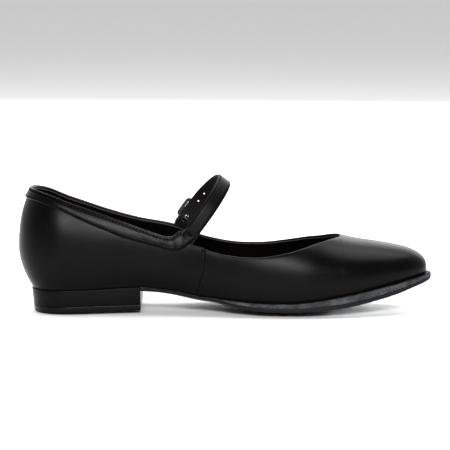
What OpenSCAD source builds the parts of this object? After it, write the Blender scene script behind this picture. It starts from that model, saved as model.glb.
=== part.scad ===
// Instep-strap tap shoe (left shoe), built as separate solids.
// X runs heel to toe, +Y is the outer side of the foot, +Z is up, z = 0 is the floor.

/* [Overall] */
// Length of the whole shoe, heel back to toe edge of the sole
shoe_length = 254; // [230:1:280]

/* [Upper] */
// Thickness of the upper leather
leather_t = 1.3; // [1.0:0.05:1.3]
// Thickness of the lining leather
lining_t = 0.8; // [0.5:0.05:1.0]
// Thickness of the toe puff and of the heel counter
stiffener_t = 0.9; // [0.5:0.05:0.9]
// Thickness of the folded collar band
band_t = 0.8; // [0.5:0.05:0.8]
// Width of the lasting margin that is turned under the insole board
margin_w = 9; // [6:0.5:10]

/* [Sole] */
// Ledge of welt and outsole outside the upper, at the ball and toe
ledge = 2.8; // [1.5:0.1:3.2]
// Thickness of the outsole at the ball
outsole_t = 2.7; // [2.3:0.1:3.0]
// Thickness of the insole board
board_t = 1.7; // [1.2:0.1:2.0]
// Thickness of the sock lining on the board
sock_t = 1.2; // [0.8:0.1:1.5]
// Height of the top piece at the back of the heel
top_piece_h = 4; // [3.4:0.1:5]

/* [Taps] */
// Thickness of the toe tap and the heel tap
tap_t = 1.6; // [1.2:0.1:1.7]
// Radius of the tap screws' shanks
screw_r = 1.2; // [0.8:0.1:1.4]

/* [Strap and buckle] */
// Width of the instep strap
strap_w = 9; // [7:0.5:9]
// Thickness of each of the strap's two layers
strap_t = 0.85; // [0.6:0.05:0.85]
// Radius of the buckle's wire and bar
wire_r = 0.8; // [0.6:0.05:0.8]
// Radius of the prong's wire
prong_r = 0.65; // [0.5:0.05:0.65]

/* [Hidden] */
base_length = 254;
k_size = shoe_length/base_length;
mid_x = base_length/2;
gap = 0.15;             // room between two layers
fit = 0.05;             // radial room between a pin and its hole
eps = 0.01;

// ---- the foot form: curves over x, measured from the heel back ----
heel_x = 29;            // centre of the round heel
toe_x = 251.2;          // front of the upper
plan_x = 222;           // from here the toe is rounded in plan
side_x = 230;           // from here the toe is rounded in side view
throat_x = 198;         // front of the foot opening
seam_x = 109.5;         // side seam at the sole
seam_lean = 5.5;        // forward lean of the side seam at the topline
// height of the feather line, where the upper meets the sole
feather = [[0,14.4],[45,15],[75,16.6],[94,14.9],[112,11.8],[130,9.8],[150,8.6],[166,8.5],
    [180,9.8],[208,14.2],[238,20.8],[252,24.4]];
// height of the ridge, carried on above the foot opening
ridge = [[0,90],[29,86],[60,79],[100,70],[144,62.5],[171,56.8],[181,53.2],[189,49.6],[194,47.6],
    [198,46.2],[203,45.1],[209,43.9],[219,42.6],[232,40.4],[252,36.5]];
// half widths at the bulge, inner and outer side of the foot
width_in = [[29,29.5],[60,28],[94,28],[120,32],[150,37],[172,38.3],[200,34.5],[220,28.5],[252,19]];
width_out = [[29,29.5],[60,30.5],[94,32],[120,36],[148,39.7],[170,39],[195,34],[220,25.5],[252,14]];
// how far the feather line is tucked in under the bulge
tuck = [[29,5.2],[94,6],[120,4.5],[150,2.6],[200,1.8],[252,1.5]];
bulge = [[0,.335],[100,.3],[165,.27],[252,.27]];
// toplines of the two sides
top_in = [[0,76],[6.4,75.2],[22,71.9],[32.6,68],[46.4,63.4],[60.3,58.8],[71.5,54.7],[83.5,50.6],
    [93.7,47.8],[104,44.9],[112,42.3],[119,39.5],[126.5,37.8],[133.5,36.9],[141,36.4],[148,36.5],
    [155,37.3],[162.5,38.7],[170,40.5],[177,42.6],[184.5,44.7],[190.5,45.8],[195,46.3],[198,46.4]];
top_out = [[0,76],[6.4,75],[15,72.8],[24,69.6],[34,66.1],[54,59.1],[74,53.5],[84,51.7],[92,50.2],
    [103,46.2],[114,41.8],[119,40.4],[126.5,38.7],[134,37.5],[141.5,37],[149,37],[156.5,37.6],
    [164.5,38.8],[172,40.1],[179,41.6],[186.5,42.9],[192,44.6],[195.5,45.8],[198,46.4]];
// lower and upper edge of the collar band, with the raised tab in front of the inner side
band_low = [[0,69.5],[6,69.2],[18,66.6],[28,63.5],[37,59.3],[46.4,55.1],[55.6,51.4],[65,47.6],
    [85,42.2],[93,39.8],[98,39.6],[102,41.2],[105.3,43.6],[108,46.2],[109.4,48]];
band_high_in = [[0,76],[6.4,75.2],[22,71.9],[32.7,68.3],[46.5,63.6],[60,58.9],[71.5,54.8],
    [83.4,50.6],[92,48.1],[95,48.2],[97,49.6],[99.2,51.1],[102,51.6],[105,51],[108,49.7],[109.4,48.8]];
band_low_out = [[0,69.5],[18,66.8],[34,60.2],[54,51],[74,45],[88,41.4],[98,40.6],[104,42.6],[107,44.1]];
// lower surface of the outsole at its edge, and how much deeper it is in the middle
sole_low = [[70,14.7],[77,14.1],[85,13.7],[95,12.6],[104.5,11],[112,9.9],[121.5,8.8],[131,6.2],[141,4.7],
    [150,3.5],[160,3.3],[170,3.4],[184,4.2],[198.5,5.5],[213,8.2],[228,11.8],[243,16.5],[251.6,19.2],[254,20.6]];
sole_dish = [[77,2],[94,2.9],[112,3.9],[130,3.9],[150,3],[160,3.3],[175,3.4],[184,3.3],[213,2.6],
    [243,2],[254,1.5]];
feather_dish = [[0,1],[40,1.6],[75,1.6],[94,1.8],[130,2.6],[165,2.8],[213,2.2],[252,1.2]];
ledge_grow = [[70,0.1],[104,0.1],[122,0.45],[140,0.9],[156,1],[254,1]];
sole_share = [[70,.93],[100,.92],[118,.75],[135,.46],[254,.4]];
sole_cap = [[100,1.7],[135,outsole_t],[254,outsole_t]];
roof_pow = 2.2;         // superellipse power of the upper's cross-section
heel_pow = 2.15;        // superellipse power of the heel in plan
back_tuck = 3.6;        // extra tuck at the heel back

function clamp01(v) = min(1, max(0, v));
function ease(v, a, b) = let (t = clamp01((v - a)/(b - a))) t*t*(3 - 2*t);
function mix(a, b, t) = a + (b - a)*t;
function chord(p, k) = (p[k + 1][1] - p[k][1])/(p[k + 1][0] - p[k][0]);
function slope(p, k) = k <= 0 ? chord(p, 0)
    : k >= len(p) - 1 ? chord(p, len(p) - 2)
    : let (a = chord(p, k - 1), b = chord(p, k)) a*b <= 0 ? 0 : 2*a*b/(a + b);
// smooth monotone curve through the points p
function curve(x, p) = x <= p[0][0] ? p[0][1]
    : x >= p[len(p) - 1][0] ? p[len(p) - 1][1]
    : let (i = max([for (k = [0:len(p) - 2]) if (p[k][0] <= x) k]), h = p[i + 1][0] - p[i][0],
        t = (x - p[i][0])/h, m0 = slope(p, i)*h, m1 = slope(p, i + 1)*h)
        p[i][1]*(2*t^3 - 3*t^2 + 1) + m0*(t^3 - 2*t^2 + t) + p[i + 1][1]*(3*t^2 - 2*t^3) + m1*(t^3 - t^2);
function round_end(x, xa, n) = (1 - clamp01((x - xa)/(toe_x - xa))^n)^(1/n);

// A station is [x, side, phi]: side -1 is the inner side and 1 the outer; phi >= 0 is an angle
// round the heel, 0 at the inner side, 90 at the back and 180 at the outer side.
function x_of(s) = s[2] < 0 ? s[0] : heel_x*(1 - sin(s[2]));
function side_of(s) = s[2] < 0 ? s[1] : s[2] < 90 ? -1 : 1;
function plan_k(s) = s[2] < 0 ? round_end(s[0], plan_x, 2.5) : 1;
function yc_of(x) = -2*max(0, (x - 200)/50);
function half_w(s, o) = s[2] < 0
    ? (curve(s[0], s[1] < 0 ? width_in : width_out) - s[1]*yc_of(s[0]) - o)*plan_k(s)
    : 1/((abs(cos(s[2]))/(29.5 - o))^heel_pow + (sin(s[2])/(heel_x - o))^heel_pow)^(1/heel_pow);
function tuck_of(s) = s[2] < 0 ? curve(s[0], tuck)*plan_k(s) : 5.2 + back_tuck*sin(s[2])^2;
function zf_of(s) = curve(x_of(s), feather);
function zr_of(s) = zf_of(s) + (curve(x_of(s), ridge) - zf_of(s))*(s[2] < 0 ? round_end(s[0], side_x, 3.2) : 1);
function zm_of(s) = mix(zf_of(s), zr_of(s), curve(x_of(s), bulge));
// point at distance r from the middle line; o moves the toe back for inner layers
function place(s, r, z, o) = s[2] < 0
    ? [s[0] - o*max(0, (s[0] - plan_x)/(toe_x - plan_x)), yc_of(s[0]) + s[1]*r, z]
    : [heel_x - r*sin(s[2]), -r*cos(s[2]), z];
function two_sides(s, a, b) = s[2] < 0 ? curve(s[0], s[1] < 0 ? a : b)
    : mix(curve(x_of(s), a), curve(x_of(s), b), (1 - cos(s[2]))/2);
// height on the wall as a parameter: 0 feather, 1 bulge, 2 ridge
function par(s, z) = let (zm = zm_of(s), zf = zf_of(s)) z < zm ? (z - zf)/(zm - zf)
    : 1 + asin(clamp01((z - zm)/(zr_of(s) - zm))^(roof_pow/2))/90;
function on_wall(s, p, o) = let (zf = zf_of(s), zm = zm_of(s), w = half_w(s, o))
    p < 1 ? place(s, w - tuck_of(s)*(1 - p)^1.9, mix(zf, zm, p) + o*(1 - p)^2, o)
    : let (h = zr_of(s) - zm) place(s, w*cos(90*(p - 1)), zm + (h - min(o, h/2))*sin(90*(p - 1))^(2/roof_pow), o);
// distance of the wall from the middle plane at a given x and height
function wall_y(x, z, side, o) = let (s = [x, side, -1]) abs(on_wall(s, par(s, z), o)[1]);
function lean(s, v) = s[2] < 0 ? [s[0] + seam_lean*exp(-((s[0] - 110)/18)^2)*v, s[1], s[2]] : s;
function top_z(s) = min(zr_of(s), two_sides(s, top_in, top_out));
function is_closed(s) = s[2] < 0 && s[0] >= throat_x;
function top_par(s) = is_closed(s) ? 2 : par(s, top_z(s));

function steps(a, b, n) = [for (i = [0:n]) mix(a, b, i/n)];
function rev(v) = [for (i = [len(v) - 1:-1:0]) v[i]];
x_quarter = steps(seam_x, heel_x, 13);
phi_half = steps(0, 90, 9);
x_fore = concat(steps(seam_x, 154, 5), [162, 170, 178, 184.5, 189, 192.3, 194.8, 196.5, 197.5, throat_x], steps(204, plan_x, 3));
x_toe = [for (t = steps(0, 1, 9)) if (t > 0) plan_x + (toe_x - 0.25 - plan_x)*sin(90*t)];
function flat_st(x, side) = [x, side, -1];
function fan_st(phi) = [0, 0, phi];
quarter_in = concat([for (x = x_quarter) flat_st(x, -1)], [for (a = phi_half) if (a > 0 && a < 90) fan_st(a)], [fan_st(89.7)]);
quarter_out = concat([fan_st(90.3)], [for (a = rev(phi_half)) if (a > 0 && a < 90) fan_st(180 - a)], [for (x = rev(x_quarter)) flat_st(x, 1)]);
vamp_x = concat([for (x = x_fore) x + (x == seam_x ? 0.3 : 0)], x_toe);
rows = 11;

// ---- polyhedra ----
// Closed tube through loops of equal length. Each loop is thin: its first half is the outer
// line and its second half comes back along the inner line, so its ends are closed as ladders.
module sweep(loops) {
    n = len(loops[0]);
    m = len(loops);
    // both faces of the shell are split along the same diagonals, so that layers nest
    sides = [for (c = [0:m - 2], i = [0:n - 1]) let (j = (i + 1)%n, a = c*n, b = (c + 1)*n)
        each i < n/2 ? [[a + i, b + i, b + j], [a + i, b + j, a + j]]
            : [[a + i, b + i, a + j], [b + i, b + j, a + j]]];
    function ladder(at) = [for (i = [0:n/2 - 2])
        each [[at + i, at + i + 1, at + n - 2 - i], [at + i, at + n - 2 - i, at + n - 1 - i]]];
    last = [for (f = ladder((m - 1)*n)) rev(f)];
    polyhedron([for (l = loops) each l], concat(sides, ladder(0), last), convexity = 8);
}
// Thin shell over a list of stations. v_at(v) gives the wall point on the outer or inner face.
function wall_loop(s, p0, n, o1, o2, margin) = let (
        ps = [for (t = steps(0, 1, n)) max(t, p0)],
        outer = [for (i = [0:n]) let (t = lean(s, i/n)) on_wall(t, ps[i]*top_par(t), o1)],
        inner = [for (i = [0:n]) let (t = lean(s, i/n)) on_wall(t, ps[i]*top_par(t), o2)])
    margin <= 0 ? concat(outer, rev(inner))
    : concat([margin_pt(s, margin, o1)], outer, rev(inner), [margin_pt(s, margin, o2)]);
function margin_pt(s, m, o) = let (r0 = half_w(s, 0) - tuck_of(s), r = r0 - min(m, 0.55*r0), f = r/r0)
    place(s, r, zf_of(s) + o - curve(x_of(s), feather_dish)*(1 - f*f), 0);
// Shell that is closed over the toe: stations of the inner side from the seam to the toe end,
// mirrored on the outer side. Where a station is closed, both sides share their top point.
module hood(xs, p0, o1, o2, margin) {
    m = len(xs);
    sts = concat([for (x = xs) flat_st(x, -1)], [for (x = rev(xs)) flat_st(x, 1)]);
    loops = [for (s = sts) wall_loop(s, p0, rows, o1(s), o2(s), margin)];
    n = len(loops[0]);
    h = n/2;
    // the top points of a closed station belong to its partner on the inner side
    function id(c, i) = let (partner = 2*m - 1 - c)
        c >= m && is_closed(sts[c]) && (i == h - 1 || i == h) ? partner*n + i : c*n + i;
    function tri(a, b, c) = a == b || b == c || a == c ? [] : [[a, b, c]];
    function quad(a, b, c, d) = concat(tri(a, b, c), tri(a, c, d));
    sides = [for (c = [0:2*m - 2], i = [0:n - 1]) let (j = (i + 1)%n,
        shut = i == h - 1 && is_closed(sts[c]) && is_closed(sts[c + 1]))
        if (!shut) each i < h ? quad(id(c, i), id(c + 1, i), id(c + 1, j), id(c, j))
            : quad(id(c + 1, i), id(c + 1, j), id(c, j), id(c, i))];
    function ladder(c) = [for (i = [0:h - 2]) each quad(id(c, i), id(c, i + 1), id(c, n - 2 - i), id(c, n - 1 - i))];
    first = is_closed(sts[0]) ? [] : ladder(0);
    last = is_closed(sts[0]) ? [] : [for (f = ladder(2*m - 1)) rev(f)];
    arch = !is_closed(sts[0]) ? [] : concat(ladder(0), [for (f = ladder(2*m - 1)) rev(f)]);
    polyhedron([for (l = loops) each l], [for (f = concat(sides, first, last, arch)) rev(f)], convexity = 8);
}
// Slab between two outlines: pairs of stations across the shoe, e1 and e2 the distances of its
// lower and upper edge outside the feather line, lo and hi its two surfaces.
across = 8;
function edge_pt(s, e) = let (q = on_wall(s, 0, -e)) [q[0], q[1]];
module slab(pairs, e1, e2, lo, hi) {
    n = across + 1;
    m = len(pairs);
    function row(pr, e, f) = let (a = edge_pt(pr[0], e), b = edge_pt(pr[1], e))
        [for (j = [0:across]) let (t = j/across, x = mix(a[0], b[0], t), y = mix(a[1], b[1], t)) [x, y, f(x, y)]];
    low = [for (pr = pairs) each row(pr, e1(pr[0]), lo)];
    high = [for (pr = pairs) each row(pr, e2(pr[0]), hi)];
    k = n*m;
    skin = [for (c = [0:m - 2], j = [0:across - 1]) let (a = c*n + j, b = a + n)
        each [[a, a + 1, b + 1], [a, b + 1, b], [k + a, k + b + 1, k + a + 1], [k + a, k + b, k + b + 1]]];
    rim = [for (c = [0:m - 2]) let (a = c*n, b = a + n, q = a + across, r = b + across)
        each [[a, b, k + b], [a, k + b, k + a], [q, k + r, r], [q, k + q, k + r]]];
    ends = [for (j = [0:across - 1]) let (a = j, b = (m - 1)*n + j)
        each [[a, k + a, k + a + 1], [a, k + a + 1, a + 1], [b, k + b + 1, k + b], [b, b + 1, k + b + 1]]];
    polyhedron(concat(low, high), [for (f = concat(skin, rim, ends)) rev(f)], convexity = 6);
}
function pairs_x(xs) = [for (x = xs) [flat_st(x, -1), flat_st(x, 1)]];
function pairs_heel(ps) = [for (a = ps) [fan_st(a), fan_st(180 - a)]];

// ---- surfaces of the bottom, over the plan ----
function st_at(x, y) = flat_st(min(max(x, heel_x), toe_x - 0.3), y < yc_of(x) ? -1 : 1);
function side_frac(x, y, e) = x < heel_x ? heel_frac(x, y, e)
    : let (s = st_at(x, y), q = abs(edge_pt(s, e)[1] - yc_of(s[0]))) clamp01(abs(y - yc_of(s[0]))/max(q, 3));
// the same round the heel, where it is measured along the radius
function heel_frac(x, y, e) = let (p = edge_pt(fan_st(atan2(heel_x - x, -y)), e))
    clamp01(norm([x - heel_x, y])/norm([p[0] - heel_x, p[1]]));
// top of the sole, under the upper
function z_feather(x, y) = curve(x, feather) - curve(x, feather_dish)*(1 - side_frac(x, y, 0)^2);
function z_sole(x, y) = curve(x, sole_low) - curve(x, sole_dish)*(1 - side_frac(x, y, ledge*curve(x, ledge_grow))^2);
function z_split(x, y) = let (a = z_sole(x, y), b = z_feather(x, y))
    a + min(curve(x, sole_share)*(b - a), curve(x, sole_cap));
function sole_e(s) = ledge*curve(s[0], ledge_grow);
// the same surfaces as values, to hand to a module
ledge_edge = function (s) sole_e(s);
sole_under = function (x, y) z_sole(x, y);
sole_over = function (x, y) z_split(x, y);

// ---- upper ----
outer_skin = function (s) 0;
leather_in = function (s) leather_t;
// room for a stiffener or the strap's root between leather and lining
function room(s) = let (x = x_of(s)) max(s[2] < 0 ? ease(x, 204, 213) : 0, 1 - ease(x, 68, 78),
    side_of(s) < 0 ? ease(x, 90, 96)*(1 - ease(x, 116, 124)) : 0);
lining_at = leather_t + gap;
lining_deep = lining_at + stiffener_t + gap;
// near the topline the lining comes up to the leather, except over the strap's root
function lining_loop(s) = let (
        strap_zone = side_of(s) < 0 ? ease(x_of(s), 90, 96)*(1 - ease(x_of(s), 116, 124)) : 0,
        o = function (v) mix(lining_at, lining_deep, room(s)*max(1 - ease(v, .74, .95), strap_zone)),
        f = function (v, t) let (q = lean(s, v)) on_wall(q, max(v, 0.06)*top_par(q), o(v) + t))
    concat([for (i = [0:rows]) f(i/rows, 0)], [for (i = [rows:-1:0]) f(i/rows, lining_t)]);

module vamp() color([0.09, 0.09, 0.1])
    hood(vamp_x, 0, outer_skin, leather_in, margin_w);
module quarter_medial() color([0.1, 0.1, 0.11])
    sweep([for (s = quarter_in) wall_loop(s, 0, rows, 0, leather_t, margin_w)]);
module quarter_lateral() color([0.1, 0.1, 0.11])
    sweep([for (s = quarter_out) wall_loop(s, 0, rows, 0, leather_t, margin_w)]);

module vamp_lining() color([0.2, 0.15, 0.13]) {
    deep = function (s) mix(lining_at, lining_deep, room(s));
    deeper = function (s) mix(lining_at, lining_deep, room(s)) + lining_t;
    hood(vamp_x, 0.06, deep, deeper, 0);
}
module quarter_lining() color([0.22, 0.16, 0.14])
    sweep([for (s = concat([for (x = x_quarter) if (x < seam_x + 1) flat_st(x, -1)],
        [for (a = phi_half) if (a > 0) fan_st(a)], [for (a = rev(phi_half)) if (a > 0 && a < 90) fan_st(180 - a)],
        [for (x = rev(x_quarter)) flat_st(x, 1)])) lining_loop(s)]);
module toe_puff() color([0.75, 0.7, 0.6])
    hood([for (x = vamp_x) if (x > 211) x], 0.085, function (s) lining_at, function (s) lining_at + stiffener_t, 0);
counter_rows = 8;
module heel_counter() color([0.72, 0.62, 0.45])
    sweep([for (s = concat([for (x = x_quarter) if (x < 68) flat_st(x, -1)],
        [for (a = phi_half) if (a > 0) fan_st(a)], [for (a = rev(phi_half)) if (a > 0 && a < 90) fan_st(180 - a)],
        [for (x = rev(x_quarter)) if (x < 68) flat_st(x, 1)]))
        let (f = function (i, o) on_wall(s, max(i/rows, 0.04)*top_par(s), o))
        concat([for (i = [0:counter_rows]) f(i, lining_at)],
            [for (i = [counter_rows:-1:0]) f(i, lining_at + stiffener_t)])]);

// band lies on the quarters from 0.1 mm outside them
band_x = concat([109.3, 108.4, 107, 105.3, 103, 101, 99, 97, 95, 92], [for (x = x_quarter) if (x < 90) x]);
band_x_out = concat([106.4, 104, 101, 97, 92], [for (x = x_quarter) if (x < 90) x]);
function band_loop(s) = let (
        lo = s[2] < 0 ? curve(s[0], s[1] < 0 ? band_low : band_low_out) : mix(curve(x_of(s), band_low), curve(x_of(s), band_low_out), (1 - cos(s[2]))/2),
        hi = s[2] < 0 ? curve(s[0], s[1] < 0 ? band_high_in : top_out) : top_z(s),
        ps = [for (z = steps(lo, hi, 4)) par(s, z)])
    concat([for (p = ps) on_wall(s, p, -0.1 - band_t)], [for (p = rev(ps)) on_wall(s, p, -0.1)]);
module collar_band() color([0.12, 0.12, 0.13])
    sweep([for (s = concat([for (x = band_x) flat_st(x, -1)], [for (a = phi_half) if (a > 0) fan_st(a)],
        [for (a = rev(phi_half)) if (a > 0 && a < 90) fan_st(180 - a)], [for (x = rev(band_x_out)) flat_st(x, 1)]))
        band_loop(s)]);

// ---- bottom ----
heel_front = 75.5;
heel_pairs = concat(pairs_heel([87, 80, 70, 60, 50, 40, 30, 20, 10]), pairs_x([29, 38, 46, 54, 62, 69, heel_front]));
fore_x = concat(steps(heel_front + 0.3, 150, 11), [158, 166, 174, 182, 190, 198, 206, 214, plan_x], x_toe);
board_inset = function (s) -(lining_deep + lining_t + 0.2);
board_z = leather_t + 0.27;
function toe_lift(x) = 0.5*ease(x, 222, 247);   // the board rises over the gathered margin at the toe
module board_slab(z0, z1, trim) {
    inset = function (s) board_inset(s) - trim;
    slab(concat(pairs_heel([87, 80, 70, 60, 50, 40, 30, 20, 10]), pairs_x(concat([29, 38, 47, 56, 65], fore_x))),
        inset, inset, function (x, y) z_feather(x, y) + z0 + toe_lift(x), function (x, y) z_feather(x, y) + z1 + toe_lift(x));
}
nail_spots = [[20, 0], [30, -11], [30, 11], [50, -11], [50, 11]];
nail_len = 11.8;
module insole_board() color([0.72, 0.6, 0.45]) difference() {
    board_slab(board_z, board_z + board_t, 0);
    for (p = nail_spots) translate([p[0], p[1], z_feather(p[0], p[1]) - 2]) cylinder(r = 1 + fit, h = 20, $fn = 32);
    for (p = nail_spots) translate([p[0], p[1], z_feather(p[0], p[1]) + board_z + board_t - 0.75])
        cylinder(r = 2.1, h = 5, $fn = 32);
}
module heel_nails() color([0.6, 0.6, 0.62]) for (p = nail_spots)
    translate([p[0], p[1], z_feather(p[0], p[1]) + board_z + board_t]) {
        translate([0, 0, -nail_len]) cylinder(r = 1, h = nail_len - 0.6, $fn = 32);
        translate([0, 0, -0.7]) cylinder(r = 2, h = 0.6, $fn = 32);
    }
module sock_lining() color([0.25, 0.2, 0.18])
    board_slab(board_z + board_t + 0.1, board_z + board_t + 0.1 + sock_t, 0.1);
// steel shank between the board and the outsole, from the heel seat to the ball
shank_half = 6.5;
module shank_body(grow) {
    xs = steps(34 - grow, 148 + grow, 14);
    sweep([for (x = xs) let (w = shank_half*(1 - 0.35*ease(abs(x - 91), 40, 57)) + grow,
        zl = function (y) z_feather(x, y) - grow + 0.1, zh = function (y) z_feather(x, y) + grow + 1.1)
        concat([for (y = steps(-w, w, 4)) [x, y, zl(y)]], [for (y = steps(w, -w, 4)) [x, y, zh(y)]])]);
}
module shank() color([0.5, 0.5, 0.53]) shank_body(0);
tap_front_inset = 4;
module bottom_filler() color([0.62, 0.48, 0.32]) difference() {
    union() {
        slab(pairs_x([for (x = fore_x) if (x > 134 && x < 245) x]), function (s) -2.7, function (s) -2.7,
            function (x, y) z_split(x, y) + 0.1, function (x, y) z_feather(x, y) - 0.2);
        slab(pairs_x([for (x = fore_x) if (x > 134 && x < 236) x]), function (s) -margin_w - 0.6, function (s) -margin_w - 0.6,
            function (x, y) z_feather(x, y) - 0.4, function (x, y) z_feather(x, y) + 1);
    }
    shank_body(0.12);
    tap_holes();
}
// welt: a strip from under the upper's edge out to the ledge, bevelled on its top outer edge
welt_x = [for (x = fore_x) if (x > 116) x];
welt_in = 2.2;           // how far it reaches in under the upper
function welt_loop(s) = let (e = sole_e(s), end = ease(s[0], 116, 130), zt = zf_of(s) - 0.2 - 0.5*ease(s[0], 226, 249),
        q = edge_pt(s, e), zl = z_split(q[0], q[1]) + 0.08, bev = 0.7*end,
        at = function (r, z) let (p = edge_pt(s, r)) [p[0], p[1], z],
        w = edge_pt(s, -welt_in), over = mix(z_split(w[0], w[1]) + 0.08, zl, ease(s[0], 118, 135)), under = z_feather(w[0], w[1]) - 0.22)
    [at(-welt_in, over), at(e, zl), at(e, max(zl + 0.1, zt - bev)), at(e - bev, max(zl + 0.15, zt)),
        at(0, max(zl + 0.15, zt)), at(-welt_in, max(over + 0.03, under))];
module welt() color([0.25, 0.27, 0.3])
    sweep([for (s = concat([for (x = welt_x) flat_st(x, 1)], [for (x = rev(welt_x)) flat_st(x, -1)])) welt_loop(s)]);
module outsole() color([0.07, 0.07, 0.08]) difference() {
    slab(pairs_x(fore_x), function (s) sole_e(s) - 0.5, ledge_edge, sole_under, sole_over);
    slab(pairs_x([for (x = fore_x) if (x > 188) x]), function (s) -tap_front_inset + gap, function (s) -tap_front_inset + gap,
        function (x, y) z_sole(x, y) - 3, function (x, y) z_sole(x, y) + tap_t + 0.1);
    tap_holes();
}
tap_x = [for (x = fore_x) if (x > 189) x];
toe_screws = [[197, -22], [197, 18], [218, -19], [218, 11], [239, -3]];
toe_screw_len = 4.4;
head_r = 2.4;
head_h = 1.2;
module tap_holes() for (p = toe_screws) translate([p[0], p[1], z_sole(p[0], p[1])])
    cylinder(r = screw_r + fit, h = toe_screw_len + 0.2, $fn = 32);
module screw(len, slot) {
    difference() {
        union() {
            cylinder(r1 = head_r, r2 = screw_r, h = head_h, $fn = 32);
            cylinder(r = screw_r, h = len, $fn = 32);
        }
        translate([-head_r, -0.3, -eps]) cube([2*head_r, 0.6, slot]);
    }
}
module sink() {
    translate([0, 0, -3]) cylinder(r = head_r + 0.1, h = 3.01, $fn = 32);
    cylinder(r1 = head_r + 0.1, r2 = screw_r + fit, h = head_h + 0.06, $fn = 32);
    cylinder(r = screw_r + fit, h = 8, $fn = 32);
}
module toe_tap() color([0.72, 0.73, 0.75]) difference() {
    slab(pairs_x(tap_x), function (s) -tap_front_inset, function (s) -tap_front_inset,
        sole_under, function (x, y) z_sole(x, y) + tap_t);
    for (p = toe_screws) translate([p[0], p[1], z_sole(p[0], p[1]) + 0.25]) sink();
}
module toe_tap_screws() color([0.55, 0.55, 0.57]) for (p = toe_screws)
    translate([p[0], p[1], z_sole(p[0], p[1]) + 0.25]) screw(toe_screw_len - 0.25, 0.5);

heel_e = 0.8;
module heel_block() color([0.06, 0.06, 0.07]) difference() {
    slab(heel_pairs, function (s) heel_e - 1, function (s) heel_e,
        function (x, y) top_piece_z(x) + 0.1, function (x, y) z_feather(x, y) - 0.15);
    for (p = nail_spots) translate([p[0], p[1], z_feather(p[0], p[1]) + board_z + board_t - nail_len - 0.3])
        cylinder(r = 1 + fit, h = nail_len + 4, $fn = 32);
    for (p = heel_screws) translate([p[0], p[1], 2]) cylinder(r = screw_r + fit, h = heel_screw_len - 1.7, $fn = 32);
}
// lower face of the heel: flat at the back, raised a little towards the front
heel_flat_x = 40;
heel_rise = 2.4;
function heel_low(x) = max(0, (x - heel_flat_x)/(heel_front - heel_flat_x)*heel_rise);
function top_piece_z(x) = top_piece_h + 1.6*(x - 9)/(heel_front - 9);
module top_piece() color([0.1, 0.1, 0.1]) difference() {
    slab(concat(pairs_heel([87, 80, 70, 60, 50, 40, 30, 20, 10]), pairs_x([29, heel_flat_x, 52, 64, heel_front])),
        function (s) heel_e - 1.6, function (s) heel_e - 1, function (x, y) heel_low(x), function (x, y) top_piece_z(x));
    translate([0, 0, -1]) linear_extrude(height = tap_t + 1.1) offset_heel(-2.6 + gap, heel_tap_x + gap);
    for (p = heel_screws) translate([p[0], p[1], -1]) cylinder(r = screw_r + fit, h = 8, $fn = 32);
}
heel_tap_x = 37.5;
heel_screws = [[15.5, 0], [32, -16], [32, 16]];
heel_screw_len = 10;
// plan of the heel, grown by e and cut at x1
module offset_heel(e, x1) {
    pts_in = [for (a = steps(88, 0, 14)) edge_pt(fan_st(a), e)];
    pts_out = [for (a = steps(180, 92, 14)) edge_pt(fan_st(a), e)];
    polygon(concat(pts_in, [[x1, pts_in[14][1]], [x1, pts_out[0][1]]], pts_out));
}
module heel_tap() color([0.72, 0.73, 0.75]) difference() {
    linear_extrude(height = tap_t) difference() {
        offset_heel(-2.6, heel_tap_x);
        translate([heel_tap_x + 4, 0]) circle(r = 11, $fn = 48);
    }
    for (p = heel_screws) translate([p[0], p[1], 0.2]) sink();
}
module heel_tap_screws() color([0.55, 0.55, 0.57]) for (p = heel_screws)
    translate([p[0], p[1], 0.2]) screw(heel_screw_len, 0.5);

// ---- strap and buckle, in the strap's own frame: w across the strap, y, u up along it ----
strap_tilt = 36.8699;
function world(w, y, u) = [cos(strap_tilt)*w + sin(strap_tilt)*u, y, cos(strap_tilt)*u - sin(strap_tilt)*w];
hinge_y = -23.5;
hinge_u = 106;
bar_y = 32.4;
bar_u = 103;
strap_over = wire_r + 0.05 + 0.8 + 0.25 + strap_t + 0.05;   // bar centre to strap centre line
arc_r = norm([bar_y + strap_over - hinge_y, bar_u - hinge_u]);
function wc(y) = 53.2 - 0.085*y;
arc_top_u = 117;
tail_u = 95;
function arc_pt(u) = [hinge_y + sqrt(arc_r^2 - (u - hinge_u)^2), u];
function bez(a, b, c, d, t) = a*(1 - t)^3 + b*3*t*(1 - t)^2 + c*3*t^2*(1 - t) + d*t^3;
apex = [0, 140.1];
path_in = [for (t = steps(0, 1, 14)) bez([hinge_y, hinge_u], [-25, 123], [-15, 140.1], apex, t)];
arc_dir = let (p = arc_pt(arc_top_u)) [-(p[1] - hinge_u), p[0] - hinge_y]/arc_r;
path_over = [for (t = steps(0, 1, 14)) bez(apex, [14, 140.1], arc_pt(arc_top_u) + 13*arc_dir, arc_pt(arc_top_u), t)];
path_tail = [for (u = steps(arc_top_u, tail_u, 12)) arc_pt(u)];
strap_path = concat(path_in, [for (i = [1:14]) path_over[i]], [for (i = [1:12]) path_tail[i]]);
function normal_at(p, i) = let (a = p[max(i - 1, 0)], b = p[min(i + 1, len(p) - 1)], d = (b - a)/norm(b - a)) [-d[1], d[0]];
function tail_half(p) = p[0] < 0 ? strap_w/2 : let (d = p[1] - tail_u) d > 4 ? strap_w/2 : strap_w/2*sqrt(max(0.06, 1 - ((4 - d)/4.4)^2));
module strap_layer(t0, t1) sweep([for (i = [0:len(strap_path) - 1]) let (p = strap_path[i], n = normal_at(strap_path, i),
        h = tail_half(p), c = wc(p[0]), a = p + n*t1, b = p + n*t0)
    [world(c - h, a[0], a[1]), world(c + h, a[0], a[1]), world(c + h, b[0], b[1]), world(c - h, b[0], b[1])]]);
module in_strap() rotate([0, strap_tilt, 0]) children();
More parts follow.
